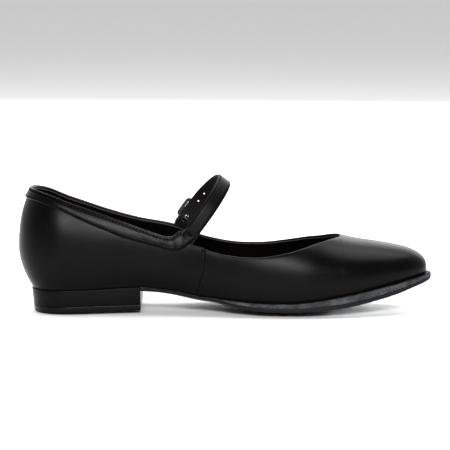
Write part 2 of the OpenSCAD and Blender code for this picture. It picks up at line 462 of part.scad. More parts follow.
hole_r = 0.75;
slot_w = 1.7;
slot_low = 101.2;
slot_high = 105.7;
module strap_cuts() in_strap() {
    translate([wc(34) - slot_w/2, 28, slot_low + slot_w/2]) cube([slot_w, 12, slot_high - slot_low - slot_w]);
    for (u = [slot_low + slot_w/2, slot_high - slot_w/2]) translate([wc(34), 28, u]) rotate([-90, 0, 0]) cylinder(r = slot_w/2, h = 12, $fn = 32);
    for (u = [110.4, 116.6, 122.8]) translate([wc(34), 24, u]) rotate([-90, 0, 0]) cylinder(r = hole_r, h = 14, $fn = 32);
}
module strap() color([0.11, 0.11, 0.12]) difference() {
    strap_layer(0.03, 0.03 + strap_t);
    strap_cuts();
}
module strap_lining() color([0.24, 0.15, 0.19]) difference() {
    strap_layer(-0.03 - strap_t, -0.03);
    strap_cuts();
}
// sewn-in end of the strap, between the leather and the lining of the inner side
root_top = hinge_u - 1.2;
root_depth = (lining_at + leather_t)/2 + 0.5;
function root_y(w, u) = let (q = world(w, 0, u))
    -mix(wall_y(q[0], min(q[2], top_z([q[0], -1, -1])), -1, root_depth), -hinge_y - 0.1, ease(u, 98, root_top));
module strap_root() color([0.11, 0.11, 0.12]) sweep([for (u = steps(93, root_top, 10))
    let (c = wc(-24), ws = steps(c - strap_w/2, c + strap_w/2, 4), t = 0.36)
    concat([for (w = ws) world(w, root_y(w, u) - t, u)], [for (w = rev(ws)) world(w, root_y(w, u) + t, u)])]);

// leather tab that holds the buckle's bar: two plies below the bar, one ply where it is sewn on
tab_half = 4.05;
tab_low = 92.5;
function band_y(u) = max([for (w = [-tab_half:tab_half:tab_half]) let (q = world(wc(bar_y) + w, 0, u))
    wall_y(q[0], q[2], 1, -0.1 - band_t)]) + 0.1;
tab_t = 0.6;
ring_r = wire_r + fit + tab_t;
function tab_in(u) = mix(max(bar_y - ring_r + 0.2, band_y(u) + 0.12), band_y(u) + 0.12, 1 - ease(u, 95, 99));
function tab_out(u) = mix(bar_y + 0.75, tab_in(u) + tab_t, 1 - ease(u, 95, 99));
module buckle_tab() color([0.1, 0.1, 0.11]) difference() {
    in_strap() translate([wc(bar_y) - tab_half, 0, 0]) difference() {
        union() {
            translate([0, bar_y, bar_u]) rotate([0, 90, 0]) cylinder(r = ring_r, h = 2*tab_half, $fn = 40);
            rotate([90, 0, 90]) linear_extrude(height = 2*tab_half)
                polygon(concat([for (u = steps(bar_u - 0.8, tab_low, 9)) [tab_out(u), u]],
                    [for (u = steps(tab_low, bar_u - 0.8, 9)) [tab_in(u), u]]));
        }
        translate([-1, bar_y, bar_u]) rotate([0, 90, 0]) cylinder(r = wire_r + fit, h = 2*tab_half + 2, $fn = 40);
    }
    in_strap() translate([wc(bar_y) - 1.35, 20, bar_u - 1.9]) cube([2.7, 20, 20]);
}
// buckle frame of round wire: the bar lies on the hinge axis, the frame leans outwards
frame_tilt = 22.5;
frame_half = 6.15;
frame_h = 12;
frame_r = 2;
module buckle_place() in_strap() translate([wc(bar_y), bar_y, bar_u]) rotate([-frame_tilt, 0, 0]) children();
// cast ring, rounded at its corners, with a round bar across its foot
side_w = 2.1;
end_w = 1.8;
ring_t = 1.5;
ring_w = 2*(frame_half + 0.8);
ring_h = frame_h + 1.6;
module offset_square(w, h, r) union() {
    square([w - 2*r, h], center = true);
    square([w, h - 2*r], center = true);
    for (i = [-1, 1], j = [-1, 1]) translate([i*(w/2 - r), j*(h/2 - r)]) circle(r = r, $fn = 48);
}
module buckle_frame() color([0.12, 0.12, 0.13]) buckle_place() {
    translate([-frame_half, 0, 0]) rotate([0, 90, 0]) cylinder(r = wire_r, h = 2*frame_half, $fn = 32);
    difference() {
        translate([0, ring_t/2, 0]) rotate([90, 0, 0]) linear_extrude(height = ring_t)
            translate([0, frame_h/2 - 0.2]) offset_square(ring_w, ring_h, frame_r + 0.6);
        translate([0, ring_t, 0]) rotate([90, 0, 0]) linear_extrude(height = 2*ring_t)
            translate([0, frame_h/2 - 0.2]) offset_square(ring_w - 2*side_w, ring_h - 2*end_w, 1.1);
        // the ring is open below the bar, where the tab's loop goes round it
        translate([-tab_half - 0.35, -3, -3]) cube([2*tab_half + 0.7, 6, 4.6]);
    }
}
// prong: an eye round the bar, a short rise through the strap's slot, then along to the frame's rim;
// the balls at the bend and the tip are a little fatter than the wire
prong_ball = prong_r + 0.05;
prong_mid = [bar_y + 4.7, bar_u + 1.7];
prong_tip = [bar_y + 6.35, bar_u + 11.6];
module rod(a, b) let (d = [b[0] - a[0], b[1] - a[1]]) translate([0, a[0], a[1]])
    rotate([-atan2(d[0], d[1]), 0, 0]) cylinder(r = prong_r, h = norm(d), $fn = 32);
module buckle_prong() color([0.45, 0.45, 0.48]) in_strap() translate([wc(bar_y), 0, 0]) difference() {
    union() {
        translate([-1, bar_y, bar_u]) rotate([0, 90, 0]) cylinder(r = wire_r + fit + 0.65, h = 2, $fn = 40);
        rod([bar_y + 1.1, bar_u + 0.4], prong_mid);
        rod(prong_mid, prong_tip);
        translate([0, prong_mid[0], prong_mid[1]]) sphere(r = prong_ball, $fn = 32);
        translate([0, prong_tip[0], prong_tip[1]]) sphere(r = prong_ball, $fn = 32);
    }
    translate([-2, bar_y, bar_u]) rotate([0, 90, 0]) cylinder(r = wire_r + fit, h = 4, $fn = 40);
}

scale(k_size) translate([-mid_x, 0, 0]) {
    vamp();
    quarter_medial();
    quarter_lateral();
    collar_band();
    vamp_lining();
    quarter_lining();
    toe_puff();
    heel_counter();
    insole_board();
    sock_lining();
    shank();
    bottom_filler();
    welt();
    outsole();
    toe_tap();
    toe_tap_screws();
    heel_block();
    heel_nails();
    top_piece();
    heel_tap();
    heel_tap_screws();
    strap();
    strap_lining();
    strap_root();
    buckle_tab();
    buckle_frame();
    buckle_prong();
}
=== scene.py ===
import math

import bmesh
import bpy
import numpy as np
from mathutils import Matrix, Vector

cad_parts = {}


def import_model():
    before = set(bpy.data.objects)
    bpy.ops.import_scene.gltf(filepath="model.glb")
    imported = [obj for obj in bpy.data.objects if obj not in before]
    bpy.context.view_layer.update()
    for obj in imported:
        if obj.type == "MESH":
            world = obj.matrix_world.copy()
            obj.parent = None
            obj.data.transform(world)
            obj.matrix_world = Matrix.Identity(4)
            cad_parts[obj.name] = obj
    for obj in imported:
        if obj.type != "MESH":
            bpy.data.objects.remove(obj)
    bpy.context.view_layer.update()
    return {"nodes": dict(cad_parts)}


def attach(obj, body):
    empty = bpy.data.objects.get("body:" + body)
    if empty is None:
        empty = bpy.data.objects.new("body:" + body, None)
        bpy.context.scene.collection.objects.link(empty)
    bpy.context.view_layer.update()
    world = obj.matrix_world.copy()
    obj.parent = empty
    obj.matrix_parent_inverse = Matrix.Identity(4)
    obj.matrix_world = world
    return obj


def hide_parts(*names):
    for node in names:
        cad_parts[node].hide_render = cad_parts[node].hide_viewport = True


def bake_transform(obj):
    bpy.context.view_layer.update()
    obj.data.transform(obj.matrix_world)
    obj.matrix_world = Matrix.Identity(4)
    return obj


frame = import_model()
nodes = frame["nodes"]

# ---- the foot form, in mm
# Lengths run from the back of the heel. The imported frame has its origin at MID_X.
MID_X = 127.0
HEEL_X, HEEL_HALF = 29.0, 29.5  # centre and half width of the heel's round
SEAM_X, THROAT_X = 109.5, 198.0  # side seam and front end of the opening
PLAN_X, SIDE_X, TOE_X = 222.0, 230.0, 251.2  # where plan and side view start to round off, and the tip
ROOF, HEEL_POW = 2.2, 2.15  # exponents of the rounding over the instep and round the heel
SEAM_LEAN, SEAM_SPREAD = 5.5, 18.0  # how far the side seam leans forward, and over what length
LEATHER, LINING, GAP = 1.3, 0.8, 0.15
STIFFENER = 0.9  # heel counter and toe puff, between leather and lining
MARGIN = 9.0  # leather turned in under the foot
LEDGE = 2.8  # how far the sole stands out round the forepart
TOP_DROP, LINING_DROP = 0.55, 0.95  # how far the leather and the lining end below the topline
TIP = 0.2  # how far the bottom's last section stays from the toe's tip


def curve(x, pts):
    """Smooth monotone curve through the points."""
    p = np.array(pts, float)
    xs, ys = p[:, 0], p[:, 1]
    d = np.diff(ys) / np.diff(xs)
    m = np.empty(len(xs))
    m[0], m[-1] = d[0], d[-1]
    a, b = d[:-1], d[1:]
    m[1:-1] = np.where(a * b <= 0, 0, 2 * a * b / np.where(np.abs(a + b) < 1e-9, 1, a + b))
    x = np.clip(x, xs[0], xs[-1])
    i = np.clip(np.searchsorted(xs, x, side="right") - 1, 0, len(xs) - 2)
    h = xs[i + 1] - xs[i]
    t = (x - xs[i]) / h
    return (ys[i] * (2 * t**3 - 3 * t**2 + 1) + m[i] * h * (t**3 - 2 * t**2 + t)
            + ys[i + 1] * (3 * t**2 - 2 * t**3) + m[i + 1] * h * (t**3 - t**2))


def soft(pts, sigma=3.0):
    """The curve with its kinks blurred over a few mm, as a function of x."""
    p = np.array(pts, float)
    step = 0.25
    grid = np.arange(p[0, 0] - 30, p[-1, 0] + 30 + step, step)
    v = curve(grid, pts)
    s0 = (p[1, 1] - p[0, 1]) / (p[1, 0] - p[0, 0])
    s1 = (p[-1, 1] - p[-2, 1]) / (p[-1, 0] - p[-2, 0])
    v = np.where(grid < p[0, 0], p[0, 1] + s0 * (grid - p[0, 0]), v)
    v = np.where(grid > p[-1, 0], p[-1, 1] + s1 * (grid - p[-1, 0]), v)
    k = np.exp(-0.5 * (np.arange(-4 * sigma, 4 * sigma + step, step) / sigma) ** 2)
    k /= k.sum()
    pad = len(k) // 2
    w = np.r_[v[0] + (np.arange(-pad, 0)) * (v[1] - v[0]), v, v[-1] + np.arange(1, pad + 1) * (v[-1] - v[-2])]
    out = np.convolve(w, k, mode="valid")[: len(grid)]
    return lambda x: np.interp(x, grid, out)


feather = soft([
    [0, 14.4], [45, 15], [75, 16.6], [94, 14.9], [112, 11.8], [130, 9.8], [150, 8.6], [166, 8.5],
    [180, 9.8], [208, 14.2], [238, 20.8], [252, 24.4]])
ridge = soft([
    [0, 90], [29, 86], [60, 79], [100, 70], [144, 62.5], [171, 56.8], [181, 53.2], [189, 49.6], [194, 47.6],
    [198, 46.2], [203, 45.1], [209, 43.9], [219, 42.6], [232, 40.4], [252, 36.5]], 2.5)
width_in = soft([
    [29, 29.5], [60, 28], [94, 28], [120, 32], [150, 37], [172, 38.3], [200, 34.5], [220, 28.5], [252, 19]])
width_out = soft([
    [29, 29.5], [60, 30.5], [94, 32], [120, 36], [148, 39.7], [170, 39], [195, 34], [220, 25.5], [252, 14]])
tuck = soft([[29, 5.2], [94, 6], [120, 4.5], [150, 2.6], [200, 1.8], [252, 1.5]])
bulge = soft([[0, .335], [100, .3], [165, .27], [252, .27]])
top_in = soft([
    [0, 76], [6.4, 75.2], [22, 71.9], [32.6, 68], [46.4, 63.4], [60.3, 58.8], [71.5, 54.7], [83.5, 50.6],
    [93.7, 47.8], [104, 44.9], [112, 42.3], [119, 39.5], [126.5, 37.8], [133.5, 36.9], [141, 36.4],
    [148, 36.5], [155, 37.3], [162.5, 38.7], [170, 40.5], [177, 42.6], [184.5, 44.7], [190.5, 45.8],
    [195, 46.3], [198, 46.4]], 1.6)
top_out = soft([
    [0, 76], [6.4, 75], [15, 72.8], [24, 69.6], [34, 66.1], [54, 59.1], [74, 53.5], [84, 51.7], [92, 50.2],
    [103, 46.2], [114, 41.8], [119, 40.4], [126.5, 38.7], [134, 37.5], [141.5, 37], [149, 37],
    [156.5, 37.6], [164.5, 38.8], [172, 40.1], [179, 41.6], [186.5, 42.9], [192, 44.6], [195.5, 45.8],
    [198, 46.4]], 1.6)
band_low = soft([
    [0, 69.5], [6, 69.2], [18, 66.6], [28, 63.5], [37, 59.3], [46.4, 55.1], [55.6, 51.4], [65, 47.6],
    [85, 42.2], [93, 39.8], [98, 39.6], [102, 41.2], [105.3, 43.6], [108, 46.2], [109.4, 48]], 0.8)
band_high_in = soft([
    [0, 76], [6.4, 75.2], [22, 71.9], [32.7, 68.3], [46.5, 63.6], [60, 58.9], [71.5, 54.8], [83.4, 50.6],
    [92, 48.1], [95, 48.2], [97, 49.6], [99.2, 51.1], [102, 51.6], [105, 51], [108, 49.7],
    [109.4, 48.8]], 0.6)
band_low_out = soft([
    [0, 69.5], [18, 66.8], [34, 60.2], [54, 51], [74, 45], [88, 41.4], [98, 40.6], [104, 42.6],
    [107, 44.1]], 0.8)
sole_low = soft([
    [70, 14.7], [77, 14.1], [85, 13.7], [95, 12.6], [104.5, 11], [112, 9.9], [121.5, 8.8], [131, 6.2],
    [141, 4.7], [150, 3.5], [160, 3.3], [170, 3.4], [184, 4.2], [198.5, 5.5], [213, 8.2], [228, 11.8],
    [243, 16.5], [251.6, 19.2], [254, 20.6]], 1.2)
sole_dish = soft([
    [77, 2], [94, 2.9], [112, 3.9], [130, 3.9], [150, 3], [160, 3.3], [175, 3.4], [184, 3.3], [213, 2.6],
    [243, 2], [254, 1.5]], 1.5)
feather_dish = soft([
    [0, 1], [40, 1.6], [75, 1.6], [94, 1.8], [130, 2.6], [165, 2.8], [213, 2.2], [252, 1.2]])
ledge_grow = soft([[70, 0.1], [104, 0.1], [122, 0.45], [140, 0.9], [156, 1], [254, 1]], 2)
sole_share = soft([[70, .93], [100, .92], [118, .75], [135, .46], [254, .4]], 2)
sole_cap = soft([[100, 1.7], [135, 2.7], [254, 2.7]], 2)


def ease(v, a, b):
    t = np.clip((v - a) / (b - a), 0, 1)
    return t * t * (3 - 2 * t)


def mix(a, b, t):
    return a + (b - a) * t


def y_mid(x):
    return -2 * max(0.0, (x - 200) / 50)


def round_end(x, xa, n):
    return (1 - min(1.0, max(0.0, (x - xa) / (TOE_X - xa))) ** n) ** (1 / n)


class Station:
    """A section of the foot form, at x on a side (-1 inner, 1 outer) or at an angle round the heel."""

    def __init__(s, x=0.0, side=-1, phi=None):
        s.x, s.side, s.phi = x, side, phi
        if phi is None:
            s.xe, s.k, roundness = x, round_end(x, PLAN_X, 2.5), round_end(x, SIDE_X, 3.2)
            s.width = float((width_in if side < 0 else width_out)(x)) - side * y_mid(x)
            slope = -0.048 if side < 0 else 0.032
            near_heel = float(ease(x, 46, HEEL_X)) * math.exp(-(((x - HEEL_X) / 9) ** 2))
            s.width -= near_heel * slope * (x - HEEL_X)
            s.tuck = float(tuck(x)) * s.k
            s.share = 0.0 if side < 0 else 1.0
        else:
            s.xe, s.k, roundness = HEEL_X * (1 - math.sin(phi)), 1.0, 1.0
            s.tuck = 5.2 + 3.6 * math.sin(phi) ** 2
            s.side = -1 if phi < math.pi / 2 else 1
            s.share = (1 - math.cos(phi)) / 2
        s.zf = float(feather(s.xe))
        s.zr = s.zf + (float(ridge(s.xe)) - s.zf) * roundness
        s.zm = mix(s.zf, s.zr, float(bulge(s.xe)))

    def half(s, o):
        if s.phi is None:
            return (s.width - o) * s.k
        c, n = abs(math.cos(s.phi)), math.sin(s.phi)
        return 1 / ((c / (HEEL_HALF - o)) ** HEEL_POW + (n / (HEEL_X - o)) ** HEEL_POW) ** (1 / HEEL_POW)

    def place(s, r, z, o):
        r, z, o = np.broadcast_arrays(np.asarray(r, float), np.asarray(z, float), np.asarray(o, float))
        if s.phi is None:
            x = s.x - o * max(0.0, (s.x - PLAN_X) / (TOE_X - PLAN_X))
            return np.stack([x, y_mid(s.x) + s.side * r, z], -1)
        return np.stack([HEEL_X - r * math.sin(s.phi), -r * math.cos(s.phi), z], -1)

    def wall(s, p, o=0.0):
        """Point on the wall: p is 0 at the feather line, 1 at the bulge, 2 on the ridge. o is the depth."""
        p, o = np.broadcast_arrays(np.asarray(p, float), np.asarray(o, float))
        w = np.vectorize(s.half)(o)
        low = np.clip(1 - p, 0, None)
        a = np.clip(p - 1, 0, 1) * math.pi / 2
        r = np.where(p < 1, w - s.tuck * low**1.9, w * np.cos(a))
        rise = s.zr - s.zm - np.minimum(o, (s.zr - s.zm) / 2)
        above = s.zm + rise * np.clip(np.sin(a), 0, 1) ** (2 / ROOF)
        z = np.where(p < 1, mix(s.zf, s.zm, p) + o * low**2, above)
        return s.place(r, z, o)

    def par(s, z):
        z = np.asarray(z, float)
        up = np.clip((z - s.zm) / (s.zr - s.zm), 0, 1)
        return np.where(z < s.zm, (z - s.zf) / (s.zm - s.zf), 1 + np.arcsin(up ** (ROOF / 2)) / (math.pi / 2))

    def two(s, a, b):
        return mix(float(a(s.xe)), float(b(s.xe)), s.share)

    def closed(s):
        return s.phi is None and s.x >= THROAT_X

    def top(s, drop=0.0):
        if s.closed():
            return 2.0
        return float(s.par(min(s.zr - 0.02, s.two(top_in, top_out)) - drop))


def seam_shift(s, v):
    """The side seam leans forward towards the topline."""
    if s.phi is not None:
        return s
    return Station(s.x + SEAM_LEAN * math.exp(-((s.x - 110) / SEAM_SPREAD) ** 2) * v, s.side)


def toe_xs(t0, t1, n, tip=TIP):
    """Sections that crowd together towards the toe, from PLAN_X at t = 0 to the tip at a quarter turn."""
    return [PLAN_X + (TOE_X - tip - PLAN_X) * math.sin(t) for t in np.linspace(t0, t1, n)]


def fan(a, b, n):
    """Sections round the heel, from angle a to b in degrees."""
    return [Station(phi=math.radians(t)) for t in np.linspace(a, b, n)]


# ---- mesh helpers
def m(p):
    """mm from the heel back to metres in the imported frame."""
    p = np.asarray(p, float)
    return (p - np.array([MID_X, 0, 0])) / 1000


def mesh_object(name, verts, faces, mat, smooth=40, weld=2e-6):
    me = bpy.data.meshes.new(name)
    me.from_pydata([tuple(v) for v in m(verts)], [], faces)
    bm = bmesh.new()
    bm.from_mesh(me)
    bmesh.ops.remove_doubles(bm, verts=bm.verts, dist=weld)
    bmesh.ops.dissolve_degenerate(bm, dist=weld, edges=bm.edges)
    bmesh.ops.recalc_face_normals(bm, faces=bm.faces)
    for f in bm.faces:
        f.smooth = True
    limit = math.radians(smooth)
    for e in bm.edges:
        e.smooth = len(e.link_faces) == 2 and e.calc_face_angle(0) < limit
    bm.to_mesh(me)
    bm.free()
    me.materials.append(mat)
    o = bpy.data.objects.new(name, me)
    bpy.context.scene.collection.objects.link(o)
    return o


def grid_faces(rows, cols, start=0, wrap=False):
    """Quads between the rows of a grid of points. With wrap, each row closes on itself."""
    faces = []
    for r in range(rows - 1):
        for c in range(cols if wrap else cols - 1):
            a, b = r * cols + c, r * cols + (c + 1) % cols
            faces.append((start + a, start + b, start + b + cols, start + a + cols))
    return faces


class Build:
    """Gathers grids of points into one mesh."""

    def __init__(b):
        b.verts, b.faces, b.count = [], [], 0

    def grid(b, g, wrap=False):
        g = np.asarray(g, float)
        rows, cols = g.shape[:2]
        b.faces += grid_faces(rows, cols, b.count, wrap)
        b.verts.append(g.reshape(-1, 3))
        b.count += rows * cols

    def raw(b, verts, faces):
        b.faces += [tuple(i + b.count for i in f) for f in faces]
        b.verts.append(np.asarray(verts, float))
        b.count += len(verts)

    def poly(b, ring):
        ring = np.asarray(ring, float)
        b.faces.append(tuple(range(b.count, b.count + len(ring))))
        b.verts.append(ring)
        b.count += len(ring)

    def done(b, name, mat, **kw):
        return mesh_object(name, np.concatenate(b.verts), b.faces, mat, **kw)


def unit(v):
    v = np.asarray(v, float)
    return v / np.maximum(np.linalg.norm(v, axis=-1, keepdims=True), 1e-12)


def tangents(p):
    p = np.asarray(p, float)
    t = np.empty_like(p)
    t[1:-1] = p[2:] - p[:-2]
    t[0], t[-1] = p[1] - p[0], p[-1] - p[-2]
    return unit(t)


def rolled_edge(outer, inner, rise, n=7):
    """Rows that round a sheet's edge over from its outer to its inner line."""
    outer, inner = np.asarray(outer), np.asarray(inner)
    out = unit(np.cross(outer - inner, tangents(outer)))
    rows = []
    for a in np.linspace(0, math.pi, n):
        rows.append(mix(outer, inner, (1 - math.cos(a)) / 2) + out * rise * math.sin(a))
    return np.stack(rows, 1)


def tube(points, radius, sides=10, taper=None):
    """Closed round bar along points, in mm, as (verts, faces)."""
    p = np.asarray(points, float)
    t = tangents(p)
    ref = np.array([0, 0, 1.0]) if abs(t[0][2]) < 0.9 else np.array([1.0, 0, 0])
    n = unit(np.cross(t[0], ref))
    rings = []
    for i in range(len(p)):
        n = unit(n - t[i] * np.dot(n, t[i]))
        b = np.cross(t[i], n)
        r = radius * (1 if taper is None else taper[i])
        turn = np.arange(sides) * 2 * math.pi / sides
        rings.append([p[i] + r * (math.cos(a) * n + math.sin(a) * b) for a in turn])
    verts = np.array(rings).reshape(-1, 3)
    faces = grid_faces(len(p), sides, wrap=True)
    faces.append(tuple(reversed(range(sides))))
    faces.append(tuple(range((len(p) - 1) * sides, len(p) * sides)))
    return verts, faces


def resample(p, step):
    p = np.asarray(p, float)
    d = np.r_[0, np.cumsum(np.linalg.norm(np.diff(p, axis=0), axis=1))]
    s = np.arange(0, d[-1], step)
    return np.stack([np.interp(s, d, p[:, k]) for k in range(p.shape[1])], 1)


def stitch_row(name, line, normals, mat, pitch=2.2, length=1.45, r=0.2, lift=0.05, wide=0.55):
    """A row of thread stitches on a surface: small bowed capsules, each on a flat near-black disc of its own,
    which is painted shade for the stitch's groove.
    """
    both = resample(np.hstack([line, normals]), pitch / 8)
    p, n = both[:, :3], unit(both[:, 3:])
    d = np.r_[0, np.cumsum(np.linalg.norm(np.diff(p, axis=0), axis=1))]
    at = lambda s, q: np.array([np.interp(s, d, q[:, k]) for k in range(3)])
    thread, painted_shade_disc = Build(), Build()
    s = pitch * 0.4
    while s + length < d[-1]:
        pts, tap = [], []
        for k in np.linspace(0, 1, 7):
            bow = math.sin(math.pi * k)
            pts.append(at(s + length * k, p) + at(s + length * k, n) * (lift + r * (0.9 * bow - 0.75)))
            tap.append(0.45 + 0.55 * bow**0.5)
        v, f = tube(pts, r, 7, tap)
        thread.raw(v, f)
        mid, up = at(s + length / 2, p), unit(at(s + length / 2, n))
        along = unit(at(s + length, p) - at(s, p))
        across = np.cross(up, along)
        turn = np.arange(14) * math.pi / 7
        # painted shade: a flat near-black disc just over the leather round each stitch, standing in for the
        # shade the sunk stitch lies in
        painted_shade_disc.poly([mid + along * (length / 2 + 0.25) * math.cos(a) + across * wide * math.sin(a) + up * lift
                     for a in turn])
        s += pitch
    return [thread.done(name, mat, smooth=80), painted_shade_disc.done(name + "_painted_shade", M["painted_shade_disc"])]


# ---- materials
class Paint:
    """Writes one node material."""

    def __init__(g, name, **sockets):
        g.mat = bpy.data.materials.new(name)
        g.mat.use_nodes = True
        g.t = g.mat.node_tree
        g.bsdf = g.t.nodes["Principled BSDF"]
        for k, v in sockets.items():
            g.bsdf.inputs[k.replace("_", " ")].default_value = v
        g.co = g.t.nodes.new("ShaderNodeTexCoord").outputs["Object"]

    def link(g, a, b):
        g.t.links.new(a, b)
        return g

    def scaled(g, s):
        n = g.t.nodes.new("ShaderNodeMapping")
        n.inputs["Scale"].default_value = s
        g.link(g.co, n.inputs["Vector"])
        return n.outputs["Vector"]

    def noise(g, scale, detail=4.0, rough=0.55, vec=None, warp=0.0):
        n = g.t.nodes.new("ShaderNodeTexNoise")
        n.inputs["Scale"].default_value = scale
        n.inputs["Detail"].default_value = detail
        n.inputs["Roughness"].default_value = rough
        n.inputs["Distortion"].default_value = warp
        g.link(vec or g.co, n.inputs["Vector"])
        return n.outputs["Fac"]

    def cells(g, scale):
        """Distance to the edges of a cell pattern."""
        n = g.t.nodes.new("ShaderNodeTexVoronoi")
        n.feature = "DISTANCE_TO_EDGE"
        n.inputs["Scale"].default_value = scale
        g.link(g.co, n.inputs["Vector"])
        return n.outputs["Distance"]

    def ramp(g, fac, *stops):
        n = g.t.nodes.new("ShaderNodeValToRGB")
        e = n.color_ramp.elements
        while len(e) < len(stops):
            e.new(0.5)
        for i, (pos, col) in enumerate(stops):
            e[i].position = pos
            e[i].color = (*col, 1) if hasattr(col, "__len__") else (col, col, col, 1)
        g.link(fac, n.inputs["Fac"])
        return n.outputs["Color"]

    def span(g, fac, a, b, lo=0.0, hi=1.0):
        n = g.t.nodes.new("ShaderNodeMapRange")
        for k, v in zip(("From Min", "From Max", "To Min", "To Max"), (lo, hi, a, b)):
            n.inputs[k].default_value = v
        g.link(fac, n.inputs["Value"])
        return n.outputs["Result"]

    def math(g, op, a, b):
        n = g.t.nodes.new("ShaderNodeMath")
        n.operation = op
        for i, v in enumerate((a, b)):
            if isinstance(v, (int, float)):
                n.inputs[i].default_value = v
            else:
                g.link(v, n.inputs[i])
        return n.outputs[0]

    def blend(g, fac, a, b):
        n = g.t.nodes.new("ShaderNodeMix")
        n.data_type = "RGBA"
        g.link(fac, n.inputs["Factor"])
        for i, v in ((6, a), (7, b)):
            if isinstance(v, tuple):
                n.inputs[i].default_value = (*v, 1)
            else:
                g.link(v, n.inputs[i])
        return n.outputs[2]

    def bump(g, height, depth, strength=1.0, under=None):
        n = g.t.nodes.new("ShaderNodeBump")
        n.inputs["Strength"].default_value = strength
        n.inputs["Distance"].default_value = depth
        g.link(height, n.inputs["Height"])
        if under is not None:
            g.link(under, n.inputs["Normal"])
        return n.outputs["Normal"]

    def color(g, v):
        return g.link(v, g.bsdf.inputs["Base Color"])

    def rough(g, v):
        return g.link(v, g.bsdf.inputs["Roughness"])

    def normal(g, v):
        return g.link(v, g.bsdf.inputs["Normal"])

    def wear(g, lo=0.5, hi=0.62):
        """Highest on convex edges."""
        n = g.t.nodes.new("ShaderNodeNewGeometry")
        return g.span(n.outputs["Pointiness"], 0, 1, lo, hi)


def leather(name, dark, light, rough_lo, rough_hi, grain=0.00003, ior=1.4):
    g = Paint(name, IOR=ior)
    tone = g.noise(38, 3)
    pores = g.noise(5200, 2, 0.6)
    crease = g.span(g.cells(1500), 0, 1, 0, 0.22)
    wrinkle = g.noise(420, 5, 0.6, warp=0.6)
    col = g.ramp(tone, (0.3, dark), (0.7, light))
    col = g.blend(g.wear(), col, tuple(min(1, 2.2 * c) for c in light))
    g.color(col)
    g.rough(g.math("ADD", g.span(tone, rough_lo, rough_hi, 0.3, 0.7), g.span(pores, -0.03, 0.03)))
    n1 = g.bump(wrinkle, grain * 2.2, 0.35)
    n2 = g.bump(crease, grain, 0.45, n1)
    g.normal(g.bump(pores, grain * 0.5, 0.3, n2))
    return g.mat


def metal(name, base, rough, scratch=0.00001, along=(900, 9000, 900)):
    g = Paint(name, Metallic=1.0)
    brushed = g.noise(1, 4, 0.7, vec=g.scaled(along))
    cloud = g.noise(90, 4)
    g.color(g.blend(g.wear(0.5, 0.66), g.ramp(cloud, (0.3, tuple(c * 0.8 for c in base)), (0.7, base)),
                    tuple(min(1, c * 1.5 + 0.05) for c in base)))
    g.rough(g.math("ADD", g.span(cloud, rough - 0.05, rough + 0.08), g.span(brushed, -0.06, 0.06)))
    g.normal(g.bump(brushed, scratch, 0.4))
    return g.mat


def plain(name, dark, light, rough, bump_scale, depth, **kw):
    g = Paint(name, **kw)
    cloud = g.noise(60, 4)
    grain = g.noise(bump_scale, 5, 0.6)
    both = g.math("ADD", g.math("MULTIPLY", cloud, 0.5), g.math("MULTIPLY", grain, 0.5))
    g.color(g.ramp(both, (0.35, dark), (0.65, light)))
    g.rough(g.span(grain, rough - 0.08, rough + 0.08, 0.3, 0.7))
    g.normal(g.bump(grain, depth, 0.6))
    return g.mat


M = {
    "upper": leather("upper_leather", (8e-4, 8e-4, 9e-4), (0.0015, 0.0015, 0.0016), 0.28, 0.36, ior=1.155),
    "strap": leather("strap_leather", (0.0014, 0.0014, 0.0015), (0.0025, 0.0025, 0.0027),
                     0.38, 0.48, ior=1.17),
    "lining": leather("lining_leather", (9e-4, 7e-4, 6e-4), (0.0018, 0.0013, 0.0011),
                      0.8, 0.88, grain=2e-5, ior=1.06),
    "lining_edge": leather("lining_edge", (0.009, 0.0058, 0.0035), (0.016, 0.0105, 0.0065),
                           0.6, 0.7, grain=2e-5),
    "strap_lining": leather("strap_lining_leather", (0.0036, 0.0022, 0.0027), (0.0062, 0.0038, 0.0046),
                            0.6, 0.7, grain=2e-5, ior=1.2),
    "thread": plain("thread", (0.0014, 0.0014, 0.0014), (0.003, 0.003, 0.003), 0.6, 6000, 4e-5, IOR=1.09),
    # painted shade: near-black matte with almost no gloss, for the flat discs under the stitches
    "painted_shade_disc": plain("painted_stitch_shade", (6e-4, 6e-4, 6e-4), (0.001, 0.001, 0.001), 0.9, 3000, 2e-5, IOR=1.02),
    "heel": plain("heel_cover", (0.0014, 0.0014, 0.0015), (0.0024, 0.0024, 0.0025),
                  0.34, 900, 1e-5, IOR=1.15),
    "top_piece": plain("top_piece_rubber", (0.0015, 0.0015, 0.0016), (0.0028, 0.0028, 0.003),
                       0.26, 1400, 2e-5, IOR=1.2),
    "tap": metal("tap_metal", (0.62, 0.63, 0.65), 0.28),
    "screw": metal("screw_steel", (0.5, 0.5, 0.52), 0.3),
    "buckle": metal("buckle_metal", (0.012, 0.012, 0.013), 0.26),
    "board": plain("fibre_board", (0.32, 0.23, 0.13), (0.5, 0.38, 0.24), 0.85, 700, 6e-5),
    "stiffener": plain("stiff_cloth", (0.55, 0.5, 0.4), (0.75, 0.7, 0.6), 0.9, 1800, 5e-5),
    "counter": plain("leather_board", (0.28, 0.18, 0.1), (0.42, 0.3, 0.18), 0.8, 900, 5e-5),
    "cork": plain("cork", (0.2, 0.12, 0.06), (0.5, 0.34, 0.18), 0.9, 500, 1e-4),
    "shank": metal("spring_steel", (0.3, 0.31, 0.34), 0.35),
}


